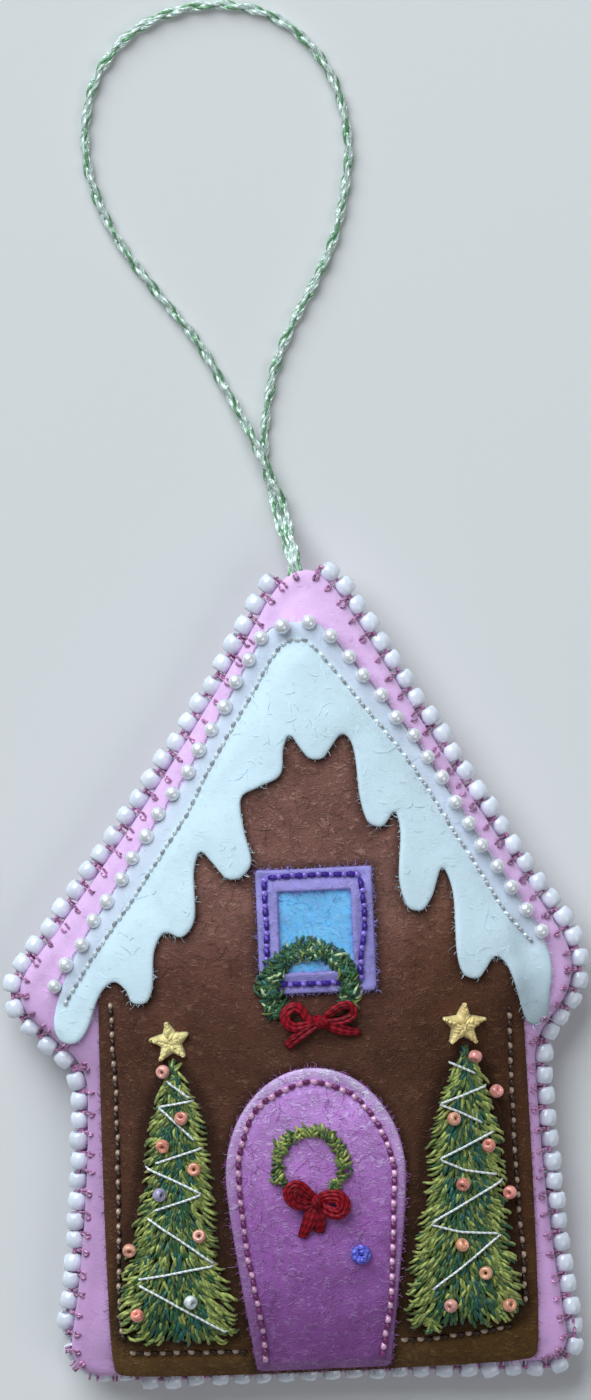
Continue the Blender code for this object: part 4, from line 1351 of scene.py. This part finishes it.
class BodyOperator(Operator):
    """Stuffs the pink felt body and closes its seam"""
    bl_idname = "ornament.body"
    bl_label = "Stuff the body"

    BITE_DENT, BITE_DENT_REACH = 0.22, 0.8  # where the blanket stitches pull the felt in
    # The seam between the faces: distance outwards, and height in felts above the seam.
    SEAM_PROFILE = [(0.34, 0.85), (0.38, 0.5), (0.30, 0.2), (-0.35, 0.0), (0.30, -0.2),
                    (0.38, -0.5), (0.34, -0.85)]
    # Painted shade down the body: height, and the factors of red, green, blue.
    FADE = [(60.0, (1.0, 1.0, 1.0)), (6.0, (0.95, 0.94, 0.95)), (-10.0, (0.80, 0.72, 0.80)),
            (-60.0, (0.84, 0.74, 0.85))]

    def execute(self, context):
        c = colours()
        rng = random_source(2)
        line, middles = rounded_outline(BEAD_LINE, 0.6)
        outline = inset(line, BEAD_CLEARANCE)
        front, back = Relief(), Relief()
        stuff(front, back, outline)
        front.z += waves(front.x, front.y, 11.0, 0.12, rng)
        deep = depth(outline, front.x, front.y)
        for face in (front, back):
            away = np.abs(deep - SEAM_BITE)
            face.z -= self.BITE_DENT * np.exp(-(away / self.BITE_DENT_REACH) ** 2)
        bench.update(front=front, back=back, line=line, middles=middles)

        grid = plan_grid(partial(depth, outline), outline.min(0), outline.max(0), 0.7, RIM)
        points, rim = grid[0], grid[3]
        top, bottom = front.at(*points.T), -back.at(*points.T)
        felt = sizes().body_felt / MM
        rings = [(0.20, np.maximum(top[rim] - 0.5, SEAM_HEIGHT + felt))]
        for out, rise in self.SEAM_PROFILE:
            rings.append((out, np.full(len(rim), SEAM_HEIGHT + rise * felt)))
        rings.append((0.20, np.minimum(bottom[rim] + 0.5, SEAM_HEIGHT - felt)))
        heap = Heap()
        fade = graded(self.FADE)

        def shade(x, y):
            """Painted shade: the fade down the body, and darker down the left wall."""
            share = share_of((-2.0 - y) / 6.0) * share_of(-x / 10.0)
            return fade(x, y) * (1.0 - 0.2 * share[:, None])

        slab(heap, grid, top, bottom, rings, shade)
        fuzz(heap, outline, lambda x, y: np.full(np.shape(x), SEAM_HEIGHT + felt), felt, rng,
             500, 0, reach=0.8)
        fuzz(heap, inset(outline, 1.0), front.at, felt, rng, 0, 500)
        pink = felt_material("pink_wool_felt", c.pink, scaled(c.pink, 1.15)[:3], clouds=0.05,
                             hairs=0.2, relief=0.06)
        body = heap.piece("pink_body_felt", pink, "pink_felt", "pink_body")
        return {"FINISHED"}


class FrontOperator(Operator):
    """Lays the felt house front, icing, door and window on the body"""
    bl_idname = "ornament.front"
    bl_label = "Lay the felt front"

    # Painted light and shade down the house and the door: height, and the factors of red, green,
    # blue.
    HOUSE_FADE = [(40.0, (1.30, 1.32, 1.40)), (12.0, (1.50, 1.55, 1.62)),
                  (3.0, (0.92, 0.86, 0.82)), (-8.0, (0.62, 0.57, 0.46)),
                  (-40.0, (0.60, 0.55, 0.38)), (-60.0, (0.82, 0.95, 0.42))]
    DOOR_FADE = [(-14.0, (1.55, 2.10, 1.80)), (-24.0, (1.30, 1.58, 1.48)),
                 (-36.0, (0.88, 0.87, 1.0)), (-50.0, (0.64, 0.58, 0.74)),
                 (-60.0, (0.58, 0.52, 0.66))]

    def execute(self, context):
        s, c = sizes(), colours()
        front = need("front", "ornament.body")
        rng = random_source(3)
        felt, thin = s.felt / MM, s.pane_felt / MM
        brown = felt_material("brown_wool_felt", c.brown, (0.36, 0.20, 0.15), clouds=0.22,
                              hairs=0.52, relief=0.42)
        white = felt_material("white_wool_felt", c.white, (0.88, 0.95, 0.97), clouds=0.03,
                              hairs=0.08, relief=0.05)
        purple = felt_material("purple_wool_felt", c.purple, (0.70, 0.42, 0.72), clouds=0.14,
                               hairs=0.6, relief=0.20)
        blue = felt_material("blue_wool_felt", c.blue, (0.40, 0.72, 1.0), clouds=0.08,
                             relief=0.10)
        lilac = felt_material("lilac_wool_felt", c.lilac, (0.5, 0.42, 0.78), clouds=0.15,
                              relief=0.14)
        house = eased_down(smooth_closed(node_outlines("house_front")[0], 0.8))
        icing = smooth_closed(blunted(node_outlines("icing")[0]), 0.5, ease=0.25)
        icing[:, 1] -= share_of((-2.0 - icing[:, 1]) / 4.0)
        door = eased_down(smooth_closed(node_outlines("door")[0], 0.6, sharp=60.0))
        frame_outlines = [smooth_closed(o, 0.6, sharp=60.0) for o in node_outlines("window_frame")]
        trees = [eased_down(smooth_closed(node_outlines(name)[0], 0.8))
                 for name in ("tree_left", "tree_right")]
        fade, door_fade = graded(self.HOUSE_FADE), graded(self.DOOR_FADE)

        def nap(x, y):
            """Painted light and shade: the house's fade, redder and darker towards the right, away
            from the window.
            """
            share = share_of((x - 14.0) / 10.0) * share_of((20.0 - y) / 10.0)
            return fade(x, y) * (1.0 - share[:, None] * np.array([0.16, 0.18, 0.36]))

        # Painted shade on the brown felt round the icing, the door, the window frame and the trees.
        under = shadowed(nap, [icing, door, frame_outlines[0], *trees])
        lay_felt("house_front_felt", front, house, felt, brown, "brown_felt", "house_front",
                 rng, seams=[eased_down(along(seam, 60)) for seam in HOUSE_SEAMS], cell=0.5,
                 fibres=(900, 1700), shade=under)
        pearl_lines = [along(route, 100) for route, _ in PEARL_ROUTES.values()]

        def painted_icing_light(x, y):
            """Painted shade under the pearls, warmer there; painted light at the left foot, painted
            shade at the right.
            """
            away = np.minimum(*(off_line(line, x, y) for line in pearl_lines))
            share = share_of((3.4 - away) / 1.2)[:, None]
            foot = share_of(-y / 5.0) * np.where(x < 0.0, 0.22, -0.34)
            return (1.0 + foot[:, None]) * (1.0 - share * np.array([0.05, 0.15, 0.09]))

        lay_felt("icing_felt", front, icing, felt, white, "white_felt", "icing", rng,
                 seams=[along(ICING_SEAM, 120)], cell=0.5, fibres=(560, 260),
                 shade=painted_icing_light)

        def painted_door_light(x, y):
            """Painted light and shade down the door; paler and greyer outside the seam."""
            share = share_of((1.9 - depth(door, x, y)) / 0.8)[:, None]
            return door_fade(x, y) * (1.0 + share * np.array([0.02, 0.36, -0.02]))

        lay_felt("door_felt", front, door, felt, purple, "purple_felt", "door", rng,
                 seams=[eased_down(along(DOOR_SEAM, 120))], fibres=(500, 700),
                 shade=painted_door_light)
        pane = smooth_closed(node_outlines("window_pane")[0], 0.6, sharp=60.0)
        lay_felt("window_pane_felt", front, pane, thin, blue, "blue_felt", "window_pane", rng,
                 fibres=(100, 120))
        lay_felt("window_frame_felt", front, frame_outlines[0], felt, lilac, "lilac_felt",
                 "window_frame", rng, hole=frame_outlines[1], cell=0.4,
                 seams=[along(seam, 40) for seam in WINDOW_SEAMS], fibres=(420, 120))
        return {"FINISHED"}


SEAM_BITE = 2.4          # how far inside the edge the blanket stitches go into the felt


class EdgeOperator(Operator):
    """Strings the glass beads along the seam and sews them on with blanket stitches"""
    bl_idname = "ornament.edge"
    bl_label = "Bead the seam"

    FOOT, CORNER = -26.0, -34.0         # the left foot starts here, and its corner here
    TUCK, TUCK_DOWN = 1.3, 1.4
    RUN_POINTS = 640
    # A blanket stitch: how far it goes in from the edge, sideways, and above the felt.
    STITCH_BITE = np.array([0.2, 0.6, 1.2, 1.55, 1.9, 2.2, 2.35])
    STITCH_SPREAD = np.array([0.1, 0.1, 0.15, 0.30, 0.32, 0.18, 0.0])
    STITCH_LIFT = np.array([0.0, 0.0, -0.5, 0.1, 0.34, 0.22, -0.5])

    def execute(self, context):
        s, c = sizes(), colours()
        rng = random_source(4)
        line, middles = need("line", "ornament.body"), bench["middles"]
        turned = np.vstack([line[middles[0]:], line[:middles[0] + 1]])
        reach = reach_along(turned)
        corners = [reach[m - middles[0]] for m in middles] + [reach[-1]]
        shape = bead_shape(s.edge_bead / MM, s.edge_bead_length / MM, 14, 8)
        glass = bead_material("white_seed_glass", c.glass, veil=0.04)
        knots = []

        def on_line(far):
            return np.array([np.interp(far, reach, turned[:, axis]) for axis in (0, 1)])

        for i, (name, count) in enumerate(BEAD_STRINGS):
            start = corners[i] + (GABLE_BARE[0] if i == 0 else 0.15)
            end = corners[i + 1] - (GABLE_BARE[1] if i == len(BEAD_STRINGS) - 1 else 0.15)
            if i == 0:
                knots.append(start - 3.0)
            pitch = (end - start) / count
            heap = Heap()
            places, tints = [], []
            for k in range(count):
                far = start + (k + 0.5) * pitch
                x, y = on_line(far)
                ahead = on_line(far + 0.5) - on_line(far - 0.5)
                lean = rng.normal(0.0, 0.10, 2)
                direction = (ahead[0] - lean[0] * ahead[1], ahead[1] + lean[0] * ahead[0], lean[1])
                spot = (x + rng.normal(0, 0.12), y + rng.normal(0, 0.12),
                        SEAM_HEIGHT - BEAD_DROP + rng.normal(0, 0.25))
                spot = self.tucked(*np.array([spot]).T)[0]
                places.append(turned_to(direction, spot, rng.uniform(0, 6.28),
                                        rng.uniform(0.95, 1.04)))
                tints.append(np.full(3, rng.uniform(0.93, 1.05)))
                knots.append(far - pitch / 2)
            knots.append(start + count * pitch)
            heap.copies(shape, places, tints)
            heap.piece(name + "_glass", glass, "white_glass", name)
        self.blanket_stitches(on_line, np.array(knots), reach[-1], rng)
        return {"FINISHED"}

    def tucked(self, x, y, z, start=-55.0):
        """At the left foot the stuffed felt rolls over the beads and their thread."""
        inside = (y < start) & (x < self.FOOT)
        return np.column_stack([x + self.TUCK * (inside & (x < self.CORNER)),
                                y + self.TUCK * inside, z - self.TUCK_DOWN * inside])

    def blanket_stitches(self, on_line, knots, whole, rng):
        """A pair of threads over the edge between each two beads, on both faces, and the thread
        that runs through the beads."""
        c = colours()
        heap = Heap()
        spots = np.array([on_line(far) for far in knots])
        ahead = unit(np.array([on_line((far + 0.4) % whole) - on_line((far - 0.4) % whole)
                               for far in knots]))
        inwards = leftwards(ahead)
        sewn = ~((spots[:, 1] < -57.0) & (np.abs(spots[:, 0]) < 36.0))      # not along the base
        for face, side in ((need("front", "ornament.body"), 1.0), (bench["back"], -1.0)):
            for lean in (-1.0, 1.0):
                spread = lean * self.STITCH_SPREAD
                shift = rng.normal(0.0, 0.26, (len(knots), 1)) + spread[None]
                bite = self.STITCH_BITE[None] * rng.uniform(0.86, 1.12, (len(knots), 1))
                bite[0] = np.maximum(bite[0], BEAD_CLEARANCE)
                plan = (spots[:, None] + inwards[:, None] * bite[:, :, None]
                        + ahead[:, None] * shift[:, :, None])
                on = face.place(plan, self.STITCH_LIFT[None] * np.ones((len(knots), 1)))
                on[..., 2] *= side
                on[:, 0, 2] = SEAM_HEIGHT
                on[:, 1, 2] = SEAM_HEIGHT + side * 0.3
                shade = rng.uniform(0.7, 1.4, (len(knots), 1)) * np.ones(3)
                shown = sewn if side > 0 else np.ones(len(knots), bool)
                heap.strands(on[shown], 0.2, 6, shade[shown])
        runs = [on_line(far) for far in np.linspace(knots[1], knots[-1], self.RUN_POINTS)]
        run = self.tucked(*np.transpose(runs), np.full(self.RUN_POINTS, SEAM_HEIGHT), start=-51.0)
        heap.strands(run[None], 0.3, 6)
        magenta = metallic_thread("magenta_seam_cotton", scaled(c.rose, 0.35)[:3], c.rose,
                                  painted_glint_share=0.7, metal=0.3)
        heap.piece("seam_blanket_stitches", magenta, "pink_felt")


class PearlOperator(Operator):
    """Sews the pearls along the icing's outer edge"""
    bl_idname = "ornament.pearls"
    bl_label = "Sew on the pearls"

    def execute(self, context):
        s, c = sizes(), colours()
        front = need("front", "ornament.body")
        rng = random_source(5)
        shape = pearl_shape(s.pearl / MM, 14, 10)
        nacre = bead_material("nacre", c.pearl, roughness=0.24, coat=0.9, veil=0.03, metal=0.3,
                              dents=0.01)
        for name, (route, count) in PEARL_ROUTES.items():
            fine = along(route, 400)
            spots = spaced(fine, 2 * count - 1)
            heap = Heap()
            places, tints = [], []
            for k in range(count):
                x, y = spots[2 * k] + rng.normal(0.0, 0.14, 2)
                ahead = spots[min(2 * k + 1, 2 * count - 2)] - spots[max(2 * k - 1, 0)]
                place = (x, y, float(front.at(x, y)) + s.pearl / MM / 2 + rng.normal(0, 0.06))
                places.append(turned_to((*ahead, rng.normal(0, 0.15)), place,
                                        rng.uniform(0, 6.28), rng.uniform(0.94, 1.05)))
                tints.append(np.full(3, rng.uniform(0.95, 1.03)))
            heap.copies(shape, places, tints)
            line = np.column_stack([spots, front.at(*spots.T) + s.pearl / MM / 2])
            line[1::2, 2] -= 1.2
            heap.strands(line[None], 0.12, 5, (0.8, 0.8, 0.8))
            heap.piece(name + "_strung", nacre, "pearl", name)
        return {"FINISHED"}


class SeamOperator(Operator):
    """Sews the backstitched seams of the icing, house, door and window"""
    bl_idname = "ornament.seams"
    bl_label = "Sew the seams"

    def execute(self, context):
        c = colours()
        front = need("front", "ornament.body")
        rng = random_source(6)
        # name, lines, pitch, radius, slot, the thread's name, colour, its share in the painted dark
        # parts and metal, then the painted highlight and the painted shade of each stitch: where
        # each starts and how far before the next stitch it ends, and its tint
        plan = [
            ("icing_stitches", [ICING_SEAM], 2.25, 0.26, "white_felt",
             ("silver_seam_thread", c.silver, 0.8, 0.25),
             ((0.15, 1.15), (1.25, 1.3, 1.3)), ((1.15, 0.1), (0.72, 0.73, 0.77))),
            ("house_stitches", HOUSE_SEAMS, 2.35, 0.36, "brown_felt",
             ("brown_seam_cotton", c.bronze, 0.6, 0.2),
             ((0.1, 1.35), (1.0, 1.0, 1.0)), ((1.05, 0.1), (0.10, 0.07, 0.06))),
            ("door_stitches", [DOOR_SEAM], 2.35, 0.44, "purple_felt",
             ("magenta_door_cotton", c.magenta, 0.7, 0.2),
             ((0.1, 1.25), (1.0, 1.0, 1.0)), ((1.15, 0.1), (0.26, 0.09, 0.24))),
            ("window_stitches", WINDOW_SEAMS, 2.15, 0.46, "violet_thread",
             ("violet_seam_thread", c.violet, 0.6, 0.2),
             ((0.1, 1.6), (3.4, 4.2, 1.5)), ((0.5, 0.1), (0.8, 0.6, 0.75))),
        ]
        for name, lines, pitch, radius, slot, (thread, shade, dark, metal), *parts in plan:
            material = metallic_thread(thread, scaled(shade, dark)[:3], shade, metal=metal)
            heap = Heap()
            for line in lines:
                for gaps, tint in parts:
                    backstitches(heap, front, eased_down(line), pitch, radius, rng, gaps, tint)
            heap.piece(name, material, slot)
        return {"FINISHED"}


class TreeOperator(Operator):
    """Embroiders the trees with their garlands, beads and stars"""
    bl_idname = "ornament.trees"
    bl_label = "Embroider the trees"

    ROW = 1.0
    STEP = 0.46
    LIFTS = (0.05, 0.50, 0.85, 0.95, 0.75, -0.25)
    NEEDLE = (2.5, 3.6)                 # the shortest and the longest
    FAN, OUTER = 58.0, 0.62             # lean at a row's ends, and where its paler needles begin
    BEAD_LIFT = 1.55
    STAR_SWELL, STAR_DROP = 1.06, 0.7

    def execute(self, context):
        front = need("front", "ornament.body")
        rng = random_source(7)
        cotton = thread_material("tree_cotton", pitch=1.5, roughness=0.42, depth_mm=0.06)
        silver = metallic_thread("garland_silver", (0.74, 0.84, 0.84), (1.0, 1.0, 1.0),
                                 pitch=0.9, painted_glint_share=0.3, metal=0.15)
        for side, garlands in (("left", GARLAND_LEFT), ("right", GARLAND_RIGHT)):
            outline = eased_down(smooth_closed(node_outlines("tree_" + side)[0], 0.8))
            heap = Heap()
            self.needles(heap, front, outline, rng)
            heap.piece(f"tree_{side}_embroidery", cotton, "green_thread", "tree_" + side)
            heap = Heap()
            for line in garlands:
                count = 4 * len(line) + 12
                path = spaced(eased_down(line), count)
                lift = np.full(count, 1.35) + rng.normal(0.0, 0.05, count)
                lift[[0, -1]] = 0.3
                on = front.place(path, lift)
                heap.strands(on[None], 0.2, 6)
            heap.piece(f"tree_{side}_garland", silver, "green_thread")
        self.beads(front, rng)
        self.stars(front, rng)
        return {"FINISHED"}

    def needles(self, heap, front, outline, rng):
        """Rows of stitches from the foot up, each row over the one below, fanning outwards."""
        low, high = outline.min(0), outline.max(0)
        y = low[1] + 0.2
        while y < high[1] - 2.0:
            xs = np.arange(low[0], high[0], 0.1)
            within = xs[depth(outline, xs, np.full(xs.shape, y)) > 0.0]
            if len(within) > 1:
                middle, half = (within[0] + within[-1]) / 2, (within[-1] - within[0]) / 2 - 0.6
                number = max(3, round(2 * half / self.STEP))
                u = (np.arange(number) + 0.5) / number * 2.0 - 1.0
                u += rng.normal(0.0, 0.05, number)
                reach = rng.uniform(*self.NEEDLE, number)
                turn = np.radians(u * self.FAN + rng.normal(0.0, 9.0, number))
                ends = np.column_stack([middle + u * half, y + rng.normal(0.0, 0.35, number)])
                starts = ends - np.column_stack([np.sin(turn), -np.cos(turn)]) * reach[:, None]
                starts[:, 1] = np.minimum(starts[:, 1], high[1] + 0.5)
                outer = pick_tints(("lime", "olive", "leaf"), (6, 3, 1), number, rng, 0.3)
                inner = pick_tints(("lime", "olive", "leaf", "teal"), (1.7, 2.6, 3.6, 2.2),
                                   number, rng, 0.3)
                tints = np.where((np.abs(u) > self.OUTER)[:, None], outer, inner)
                order = rng.permutation(number)
                fan_stitches(heap, front, starts[order], ends[order], self.LIFTS, 0.27,
                             tints[order], rng, bow=0.06)
            y += self.ROW

    def beads(self, front, rng):
        """A glass bead where each bead of the CAD part is; two of them are nearly clear."""
        s, c = sizes(), colours()
        clear = {"tree_bead_left_8": (0.85, 2.2, 3.2), "tree_bead_left_5": (0.5, 1.1, 2.4)}
        coral = bead_material("coral_lined_glass", c.coral, roughness=0.07, coat=1.0, veil=0.32)
        shape = bead_shape(s.tree_bead / MM, s.tree_bead * 0.72 / MM, 18, 10, hole_share=0.2)
        for name in sorted(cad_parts):
            if name.startswith("tree_bead_"):
                low, high = corners_of(name)
                x, y = eased_down([((low + high) / 2)[:2]])[0]
                lean = rng.normal(0.0, 0.8, 2)
                tint = np.array([1.0, rng.uniform(0.8, 1.3), rng.uniform(0.8, 1.5)])
                tint = np.array(clear.get(name, tint))
                heap = Heap()
                place = front.place((x, y), self.BEAD_LIFT)
                heap.copies(shape, [turned_to((*lean, 1.0), place, rng.uniform(0, 6))], [tint])
                heap.piece(name + "_glass", coral, "coral_glass", name)

    def stars(self, front, rng):
        """Each star is ten wedges of satin stitches from its raised middle lines to its edge."""
        c = colours()
        gold = thread_material("gold_star_thread", tuple(c.gold), pitch=2.0, roughness=0.4,
                               between=0.85)
        for name, warmth in (("star_left", (1.0, 1.0, 1.0)), ("star_right", (0.96, 0.88, 0.84))):
            outline = node_outlines(name)[0]
            centre = outline.mean(0)
            outline = centre + (outline - centre) * self.STAR_SWELL
            off = np.linalg.norm(outline - centre, axis=1)
            first = int(np.argmax(off))
            heap = Heap()
            for point in range(first, first + 10, 2):
                tip = outline[point % 10]
                for side in (-1, 1):
                    valley = centre + (outline[(point + side) % 10] - centre) * 1.15
                    t = np.linspace(0.0, 0.94, 10)[:, None]
                    starts, ends = centre + (tip - centre) * t, valley + (tip - valley) * t
                    shade = rng.uniform(0.88, 1.12, (len(t), 1)) * warmth
                    fan_stitches(heap, front, starts - (0.0, self.STAR_DROP),
                                 ends - (0.0, self.STAR_DROP), (1.15, 1.15, 0.85, 0.0), 0.30,
                                 shade, rng, bow=0.03, sides=6)
            heap.piece(name + "_satin", gold, "gold_thread", name)


class WreathOperator(Operator):
    """Embroiders the wreaths with their bows, and the door's knob"""
    bl_idname = "ornament.wreaths"
    bl_label = "Embroider the wreaths"

    def execute(self, context):
        c = colours()
        front = need("front", "ornament.body")
        rng = random_source(8)
        cotton = thread_material("wreath_cotton", pitch=1.3, roughness=0.42, depth_mm=0.06)
        # The palest stitches of the window wreath are painted highlights.
        self.wreath(front, rng, cotton, "wreath_window", 1.75, (-24.0, 218.0), 420,
                    ("leaf", "teal", "olive", "lime", "painted_glint"), (6.5, 2.6, 0.8, 0.3, 1.1))
        self.wreath(front, rng, cotton, "wreath_door", 1.25, (-50.0, 214.0), 150,
                    ("lime", "olive", "leaf"), (4.0, 4.8, 1.6))
        red = thread_material("red_bow_cotton", tuple(c.red), pitch=1.2, roughness=0.5,
                              depth_mm=0.05, between=0.45, sheen=0.0)
        self.bow(front, rng, red, "bow_window", WINDOW_BOW, 4, 0.36)
        self.bow(front, rng, red, "bow_door", DOOR_BOW, 5, 0.36)
        self.knob(front)
        return {"FINISHED"}

    def wreath(self, front, rng, cotton, name, half, arc, number, names, weights):
        """Stitches across an arc in two layers; half is half the band's width."""
        low, high = corners_of(name)
        radius = (high[0] - low[0]) / 2 - half
        centre = np.array([(low[0] + high[0]) / 2, high[1] - half - radius])
        heap = Heap()
        for lifts, share in (((-0.2, 0.45, 0.5, -0.2), 0.5), ((-0.3, 0.8, 0.95, 0.6, -0.3), 1.0)):
            angle = np.radians(rng.uniform(arc[0], arc[1], round(number * share)))
            out = np.column_stack([np.cos(angle), np.sin(angle)])
            round_it = leftwards(out)
            middle = centre + out * (radius + rng.normal(0, 0.32 * half, len(angle)))[:, None]
            way = rng.choice([-1.0, 1.0], len(angle), p=(0.35, 0.65))
            reach = rng.uniform(0.5, 0.9, len(angle)) * half
            slant = out * 0.8 + round_it * (way * rng.uniform(0.3, 0.9, len(angle)))[:, None]
            starts, ends = middle - slant * reach[:, None] * 0.8, middle + slant * reach[:, None]
            fan_stitches(heap, front, starts, ends, lifts, 0.24,
                         pick_tints(names, weights, len(angle), rng, 0.28), rng)
        heap.piece(name + "_embroidery", cotton, "green_thread", name)

    def bow(self, front, rng, red, name, lines, plies, radius):
        """Loops and tails of several threads side by side, and the knot's wraps."""
        heap = Heap()
        for line, width, top in lines:
            path = eased_down(along(line, 26))
            side = leftwards(unit(np.gradient(path, axis=0)))
            t = np.linspace(0.0, 1.0, len(path))
            for ply in range(plies):
                off = (ply / (plies - 1) - 0.5) * width
                wander = 0.08 * np.sin(5.0 * t + rng.uniform(0, 6))
                plan = path + side * (off * (0.45 + 0.55 * np.sin(math.pi * t)) + wander)[:, None]
                lift = 0.30 + (top - 0.3) * np.sin(math.pi * t) + 0.14 * (ply % 2)
                shade = rng.uniform(0.7, 1.25) * np.ones(3)
                heap.strands(front.place(plan, lift)[None], radius, 6, shade)
        heap.piece(name + "_threads", red, "red_thread", name)

    def knob(self, front):
        """French knot: a thread wound three times round and pulled down in its middle."""
        low, high = corners_of("door_knob")
        x, y = eased_down([((low + high) / 2)[:2]])[0]
        t = np.linspace(0.0, 1.0, 60)
        turn = 2 * math.pi * 3.3 * t
        out = 1.1 - 0.3 * np.cos(2 * math.pi * 2 * t) - 0.35 * t
        plan = np.column_stack([x + out * np.cos(turn), y + out * np.sin(turn)])
        path = front.place(plan, 0.3 + 0.75 * t)
        path[-1] = front.place((x, y), 0.3)
        heap = Heap()
        heap.strands(path[None], 0.42, 7)
        violet = metallic_thread("violet_knot_thread", (0.07, 0.07, 0.60), (0.26, 0.28, 1.0),
                                 painted_glint_share=0.5, metal=0.3)
        heap.piece("door_knob_knot", violet, "violet_thread", "door_knob")


# Threads of the bows: points, width of the bundle, and height of its middle.
WINDOW_BOW = [
    ([(3.7, -5.5), (1.6, -4.9), (0.8, -3.6), (-0.4, -3.0), (-1.7, -3.8), (-1.8, -5.3), (-0.5, -6.3),
      (1.2, -6.0), (3.7, -5.5)], 0.9, 1.3),
    ([(3.7, -5.5), (5.3, -4.0), (7.2, -3.0), (8.5, -3.5), (8.3, -4.8), (6.4, -5.5), (3.7, -5.5)],
     0.8, 1.3),
    ([(3.4, -5.6), (1.4, -6.6), (-0.4, -8.0), (-1.8, -9.4)], 1.1, 0.9),
    ([(3.6, -5.6), (5.6, -6.4), (7.6, -7.2), (9.6, -7.6)], 1.1, 0.9),
    ([(3.1, -4.9), (3.6, -5.4), (4.0, -6.3)], 1.2, 1.7),
]
DOOR_BOW = [
    ([(1.8, -33.4), (0.4, -32.2), (-1.2, -31.0), (-2.2, -31.8), (-1.6, -33.2), (0.2, -33.8),
      (1.8, -33.4)], 1.7, 1.3),
    ([(1.8, -33.4), (3.4, -32.7), (5.2, -32.9), (5.9, -34.3), (4.8, -35.3), (3.0, -34.6),
      (1.8, -33.4)], 1.7, 1.3),
    ([(1.6, -33.6), (0.8, -35.2), (0.2, -36.8), (-0.8, -38.8)], 1.6, 0.9),
    ([(1.8, -33.6), (2.0, -35.2), (2.2, -36.6), (2.0, -38.2)], 1.6, 0.9),
    ([(1.2, -32.8), (1.7, -33.3), (2.2, -34.2)], 1.0, 1.6),
]


class OrnamentPanel(Panel):
    """Lists the steps in the order they are made, and what they are made from"""
    bl_idname = "ORNAMENT_PT_steps"
    bl_label = "Felt house ornament"
    bl_space_type = "VIEW_3D"
    bl_region_type = "UI"
    bl_category = "Ornament"

    def draw(self, context):
        column = self.layout.column(align=True)
        for step in STEPS:
            column.operator(step.bl_idname)
        for group in (context.scene.ornament_sizes, context.scene.ornament_colours):
            box = self.layout.box()
            for name in type(group).__annotations__:
                box.prop(group, name)


STEPS = (StudioOperator, CordOperator, BodyOperator, FrontOperator, EdgeOperator, PearlOperator,
         SeamOperator, TreeOperator, WreathOperator)
CLASSES = (OrnamentSizes, OrnamentColours, *STEPS, OrnamentPanel)


def register():
    for item in CLASSES:
        bpy.utils.register_class(item)
    bpy.types.Scene.ornament_sizes = PointerProperty(type=OrnamentSizes)
    bpy.types.Scene.ornament_colours = PointerProperty(type=OrnamentColours)


def unregister():
    del bpy.types.Scene.ornament_colours
    del bpy.types.Scene.ornament_sizes
    for item in reversed(CLASSES):
        bpy.utils.unregister_class(item)


def main():
    """Makes the ornament step by step."""
    register()
    bpy.ops.ornament.studio()
    bpy.ops.ornament.cord()
    bpy.ops.ornament.body()
    bpy.ops.ornament.front()
    bpy.ops.ornament.edge()
    bpy.ops.ornament.pearls()
    bpy.ops.ornament.seams()
    bpy.ops.ornament.trees()
    bpy.ops.ornament.wreaths()


if __name__ == "__main__":
    main()
